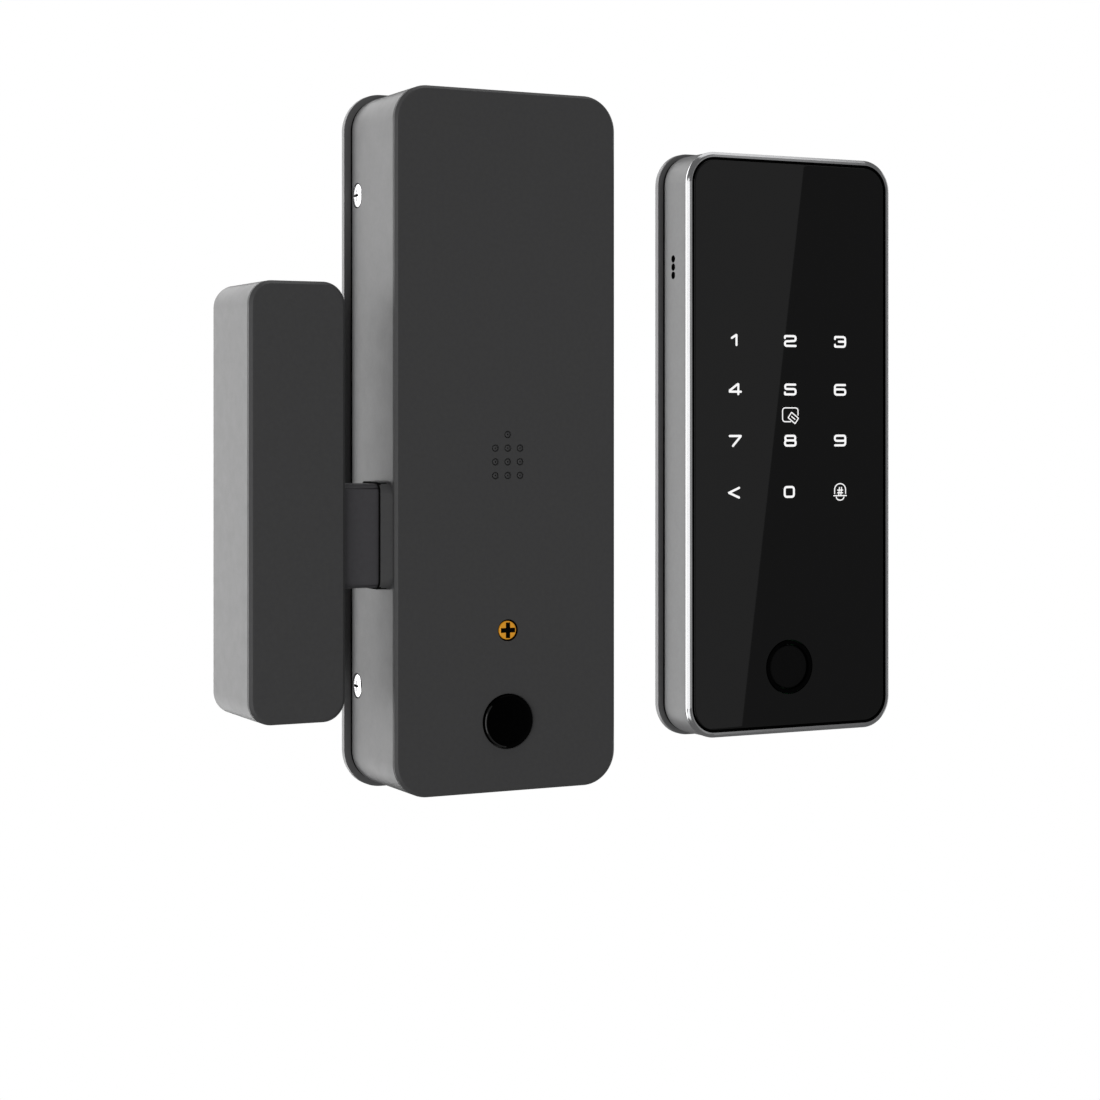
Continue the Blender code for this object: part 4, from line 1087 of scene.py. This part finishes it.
def fingerprint_reader():
    front, back = READER_RING.low[1], READER_RING.high[1]
    radius = READER_RING.size[0] / 2
    inner = radius - RING_W
    profile = [(front + 0.07, radius - 0.05), (front + 0.2, radius), (back, radius), (back, inner),
               (front + 0.2, inner), (front + 0.07, inner + 0.05), (front + 0.01, inner + 0.2),
               (front, inner + 0.4), (front, radius - 0.4), (front + 0.01, radius - 0.2)]
    ring = turned("reader_ring", profile, READER_RING.mid, "Y", 96, loop=True)
    dress(ring, "fingerprint_ring", RING)
    span = Span("fingerprint_sensor")
    face = span.low[1]
    inner = span.size[0] / 2
    profile = [(face + 0.06, 0.4), (face + 0.05, 2.0), (face + 0.03, 4.0), (face, inner - 0.5),
               (face + 0.05, inner - 0.2), (face + 0.2, inner), (span.high[1], inner)]
    sensor = turned("reader_face", profile, span.mid, "Y", 96)
    dress(sensor, "fingerprint_sensor", READER)


# ---- printed legends

DIGIT_W = 3.75                # width and height of a digit's centre line
DIGIT_H = 2.9
DIGIT_STROKE = 0.66
DIGIT_BEND = 0.85             # radius of its bends
FINE_STROKE = 0.33
INK_T = 0.03
KEY_COLUMNS = (-19.2, -0.2, 17.4)
KEY_ROWS = (29.2, 14.8, -0.4, -15.6)
KEY_NAMES = (("1", "2", "3"), ("4", "5", "6"), ("7", "8", "9"), ("back", "0", None))
CARD_Z = 7.3


def rounded_path(corners, radius, closed=False, steps=6):
    """Polyline through corners, with each inner corner replaced by an arc of at most that radius."""
    points = []
    count = len(corners)
    for index, corner in enumerate(corners):
        here = Vector(corner)
        if not closed and index in (0, count - 1):
            points.append(here)
            continue
        before = Vector(corners[index - 1]) - here
        after = Vector(corners[(index + 1) % count]) - here
        half_turn = before.angle(after) / 2
        cut = min(radius / math.tan(half_turn), before.length * 0.5, after.length * 0.5)
        first = here + before.normalized() * cut
        last = here + after.normalized() * cut
        for step in range(steps + 1):
            t = step / steps
            points.append(first * (1 - t) ** 2 + here * 2 * t * (1 - t) + last * t ** 2)
    return points


def print_stroke(name, points, width, closed):
    """Flat printed stroke along a path in the XZ plane, with round ends unless it is closed."""
    count = len(points)
    left, right = [], []
    for index, point in enumerate(points):
        before = points[index - 1] if closed or index else point
        after = points[(index + 1) % count] if closed or index < count - 1 else point
        along = (after - before).normalized()
        side = Vector((-along.y, along.x)) * width / 2
        left.append(point + side)
        right.append(point - side)
    if closed:
        return loft(name, [at_y(left, 0), at_y(right, 0), at_y(right, INK_T), at_y(left, INK_T)], loop=True)
    last_end = round_end(points[-1], points[-1] - points[-2], width / 2)
    first_end = round_end(points[0], points[0] - points[1], width / 2)
    return filled_strip(name, left + last_end + right[::-1] + first_end, count, len(last_end))


def filled_strip(name, outline, count, cap):
    """Thin body over an outline of two long sides of count points, each followed by cap points of an end."""
    maker = bmesh.new()
    front, back = [vertices(maker, at_y(outline, y)) for y in (0, INK_T)]
    total = len(outline)
    far = total - cap - 1
    faces = [(index, index + 1, far - 1 - index, far - index) for index in range(count - 1)]
    faces += [range(count - 1, count + cap + 1), [*range(far, total), 0]]
    for row in (front, back):
        for face in faces:
            maker.faces.new([row[index] for index in face])
    for index in range(total):
        after = (index + 1) % total
        maker.faces.new((front[index], front[after], back[after], back[index]))
    return mesh_object(name, maker)


def round_end(centre, direction, radius, steps=8):
    """Points round the end of a stroke, from its left side to its right."""
    start = math.atan2(direction.y, direction.x) + math.pi / 2
    points = []
    for step in range(1, steps):
        angle = start - math.pi * step / steps
        points.append(centre + Vector((math.cos(angle), math.sin(angle))) * radius)
    return points


DIGITS = {
    "0": [([(-0.86, 1), (0.86, 1), (0.86, -1), (-0.86, -1)], True)],
    "1": [([(-0.62, 0.42), (0.14, 1)], False), ([(0.22, 1), (0.22, -1)], False)],
    "2": [([(-1, 0.6), (-1, 1), (1, 1), (1, 0.04), (-1, -0.1), (-1, -1), (1, -1)], False)],
    "3": [([(-0.97, 0.6), (-0.97, 1), (0.97, 1), (0.97, -1), (-0.97, -1), (-0.97, -0.62)], False),
          ([(-0.25, 0.04), (0.97, 0.04)], False)],
    "4": [([(0.55, -1), (0.55, 1)], False), ([(0.42, 1), (-1, -0.28)], False),
          ([(-1, -0.28), (-1, -0.52)], False), ([(-1, -0.52), (1.02, -0.52)], False)],
    "5": [([(0.92, 1), (-0.95, 1), (-0.95, 0.1), (-0.3, 0.1)], False),
          ([(-0.6, 0.1), (1, 0.1), (1, -1), (-1, -1), (-1, -0.62)], False)],
    "6": [([(0.95, 1), (-1, 1), (-1, -0.4)], False), ([(-1, 0.1), (1, 0.1), (1, -1), (-1, -1)], True)],
    "7": [([(-1, 1), (1, 1)], False), ([(1, 0.95), (-0.42, -1)], False)],
    "8": [([(-0.93, 1), (0.93, 1), (0.93, 0.06), (-0.93, 0.06)], True),
          ([(-1, 0.06), (1, 0.06), (1, -1), (-1, -1)], True)],
    "9": [([(-0.95, -1), (1, -1), (1, 0.4)], False), ([(1, -0.06), (-1, -0.06), (-1, 1), (1, 1)], True)],
    "back": [([(0.88, 0.98), (-0.95, 0)], False), ([(-0.95, 0), (0.88, -0.98)], False)],
}


def print_strokes(name, strokes, width, x, z):
    """Joins a legend's strokes; each lies a hair above the one before, so none share a plane."""
    pieces = []
    for index, (points, closed) in enumerate(strokes):
        piece = print_stroke(name, points, width, closed)
        lift = INK_T * (1 + 0.12 * index)
        piece.data.transform(Matrix.Translation(Vector((x, PAD_GLASS.low[1] - lift, z)) * MM))
        pieces.append(piece)
    made = join(name, pieces) if len(pieces) > 1 else pieces[0]
    return add_on(made, body_of("keypad_glass"), GLOWING_INK)


def digit(name, x, z):
    strokes = []
    for corners, closed in DIGITS[name]:
        scaled = [(a * DIGIT_W / 2, b * DIGIT_H / 2) for a, b in corners]
        strokes.append((rounded_path(scaled, DIGIT_BEND, closed), closed))
    return print_strokes("legend_" + name, strokes, DIGIT_STROKE, x, z)


def card_icon(x, z):
    """Rounded frame with a small tilted card over its lower right corner."""
    w, h = 2.7, 2.05
    frame_path = rounded_path([(w, -0.1), (w, h), (-w, h), (-w, -h), (0.1, -h)], 1.0)
    tilt = math.radians(-36)
    middle = (1.05, -0.95)
    half_w, half_h = 1.5, 1.0
    corners = [(half_w, half_h), (-half_w, half_h), (-half_w, -half_h), (half_w, -half_h)]
    card = rounded_path([turn_point(corner, tilt, middle) for corner in corners], 0.15, True)
    stripe = [Vector(turn_point(corner, tilt, middle)) for corner in ((-0.7, 0.0), (0.7, 0.0))]
    strokes = [(frame_path, False), (card, True), (stripe, False)]
    return print_strokes("legend_card", strokes, FINE_STROKE, x, z)


def turn_point(point, angle, centre):
    return (centre[0] + point[0] * math.cos(angle) - point[1] * math.sin(angle),
            centre[1] + point[0] * math.sin(angle) + point[1] * math.cos(angle))


def bell_icon(x, z):
    """Bell outline with a hash sign in it."""
    half, base = 1.95, 2.25
    dome = [(-half, -0.45), *half_ellipse(half, 1.75, 0.75, 16), (half, -0.45)]
    lines = [dome, [(-base, -1.1), (base, -1.1)], half_ellipse(1.35, -0.95, -1.5, 12)]
    for side in (-1, 1):
        hash_x, hash_z = side * 0.38, 0.17 + side * 0.4
        lines.append([(hash_x - 0.13, -1.0), (hash_x + 0.13, 1.35)])
        lines.append([(-0.9, hash_z), (0.9, hash_z)])
    strokes = [([Vector(point) for point in line], False) for line in lines]
    return print_strokes("legend_bell", strokes, FINE_STROKE, x, z)


def half_ellipse(half_w, rise, z, steps):
    """Points from left to right over (or, with a negative rise, under) the height z."""
    angles = [math.pi * step / steps for step in range(steps + 1)]
    return [(-half_w * math.cos(angle), z + rise * math.sin(angle)) for angle in angles]


def legends():
    for z, keys in zip(KEY_ROWS, KEY_NAMES):
        for x, key in zip(KEY_COLUMNS, keys):
            if key:
                digit(key, PAD_CENTRE[0] + x - (0.35 if key in ("0", "back") else 0), z)
    card_icon(PAD_CENTRE[0] + KEY_COLUMNS[1], CARD_Z)
    bell_icon(PAD_CENTRE[0] + KEY_COLUMNS[2], KEY_ROWS[3] - 0.25)


# ---- stage, light and camera

FLOOR_Z = -1.2
FLOOR_HALF = 14.0


def stage():
    maker = bmesh.new()
    bmesh.ops.create_grid(maker, x_segments=1, y_segments=1, size=FLOOR_HALF)
    floor = mesh_object("stage_floor", maker)
    floor.location = (0, 0, FLOOR_Z)
    floor.data.materials.append(stage_floor())


def world():
    made = bpy.data.worlds.new("studio")
    bpy.context.scene.world = made
    made.use_nodes = True
    white_to_camera(made.node_tree, "ShaderNodeBackground", "ShaderNodeOutputWorld")


def softbox(name, place, aim, size, radiance, roll=0.0):
    """Area light of the given radiance, aimed at a point."""
    light = bpy.data.lights.new(name, "AREA")
    light.shape = "RECTANGLE"
    light.size = size[0]
    light.size_y = size[1]
    light.energy = radiance * math.pi * size[0] * size[1]
    obj = add_object(name, light)
    direction = Vector(aim) - Vector(place)
    turn = direction.to_track_quat("-Z", "Y").to_matrix().to_4x4()
    obj.matrix_world = Matrix.Translation(Vector(place)) @ turn @ Matrix.Rotation(roll, 4, "Z")
    obj.visible_camera = False
    return obj


def lights():
    middle = (0.03, 0, 0)
    softbox("back_left", (-0.75, 1.35, 0.1), middle, (2.6, 2.2), 2.15)
    softbox("left_front", (-1.3, -0.95, -0.3), middle, (1.0, 1.7), 1.2)
    softbox("top", (0.3, 0.1, 1.4), middle, (1.6, 1.0), 0.8)
    softbox("right_back", (1.5, 0.9, 0.0), middle, (0.8, 1.4), 0.7)
    # A narrow card, whose tilted edge is the slanting line of light on the glass.
    card, card_z = 0.26, -0.02
    card_x = 1.0175 - card / 2
    softbox("front_card", (card_x, -1.5, card_z), (card_x, 0, card_z), (card, 1.7), 0.215, math.radians(-7.4))


def camera():
    data = bpy.data.cameras.new("camera")
    data.sensor_width = 36
    data.lens = 76.7
    data.shift_x = -0.0006
    data.shift_y = -0.1159
    data.clip_start = 0.01
    obj = add_object("camera", data)
    obj.location = (-0.273, -0.608, 0.005)
    obj.rotation_euler = (math.radians(90), 0, math.radians(-26.5))
    bpy.context.scene.camera = obj


# ---- assembly

def build():
    for make in (lock_back_plate, lock_gasket, lock_housing, lock_front_cover, unlock_button, cover_screw):
        make()
    for side in ("left", "right"):
        for end in ("upper", "lower"):
            housing_screw("housing_screw_" + side + "_" + end)
    for make in (latch_bolt, mechanism, batteries, strike_housing, strike_front_cover, keypad_back_plate,
                 keypad_gasket, keypad_housing, keypad_bezel, keypad_glass, fingerprint_reader, legends,
                 stage, world, lights, camera):
        make()


build()
bpy.context.scene.view_settings.view_transform = "Standard"
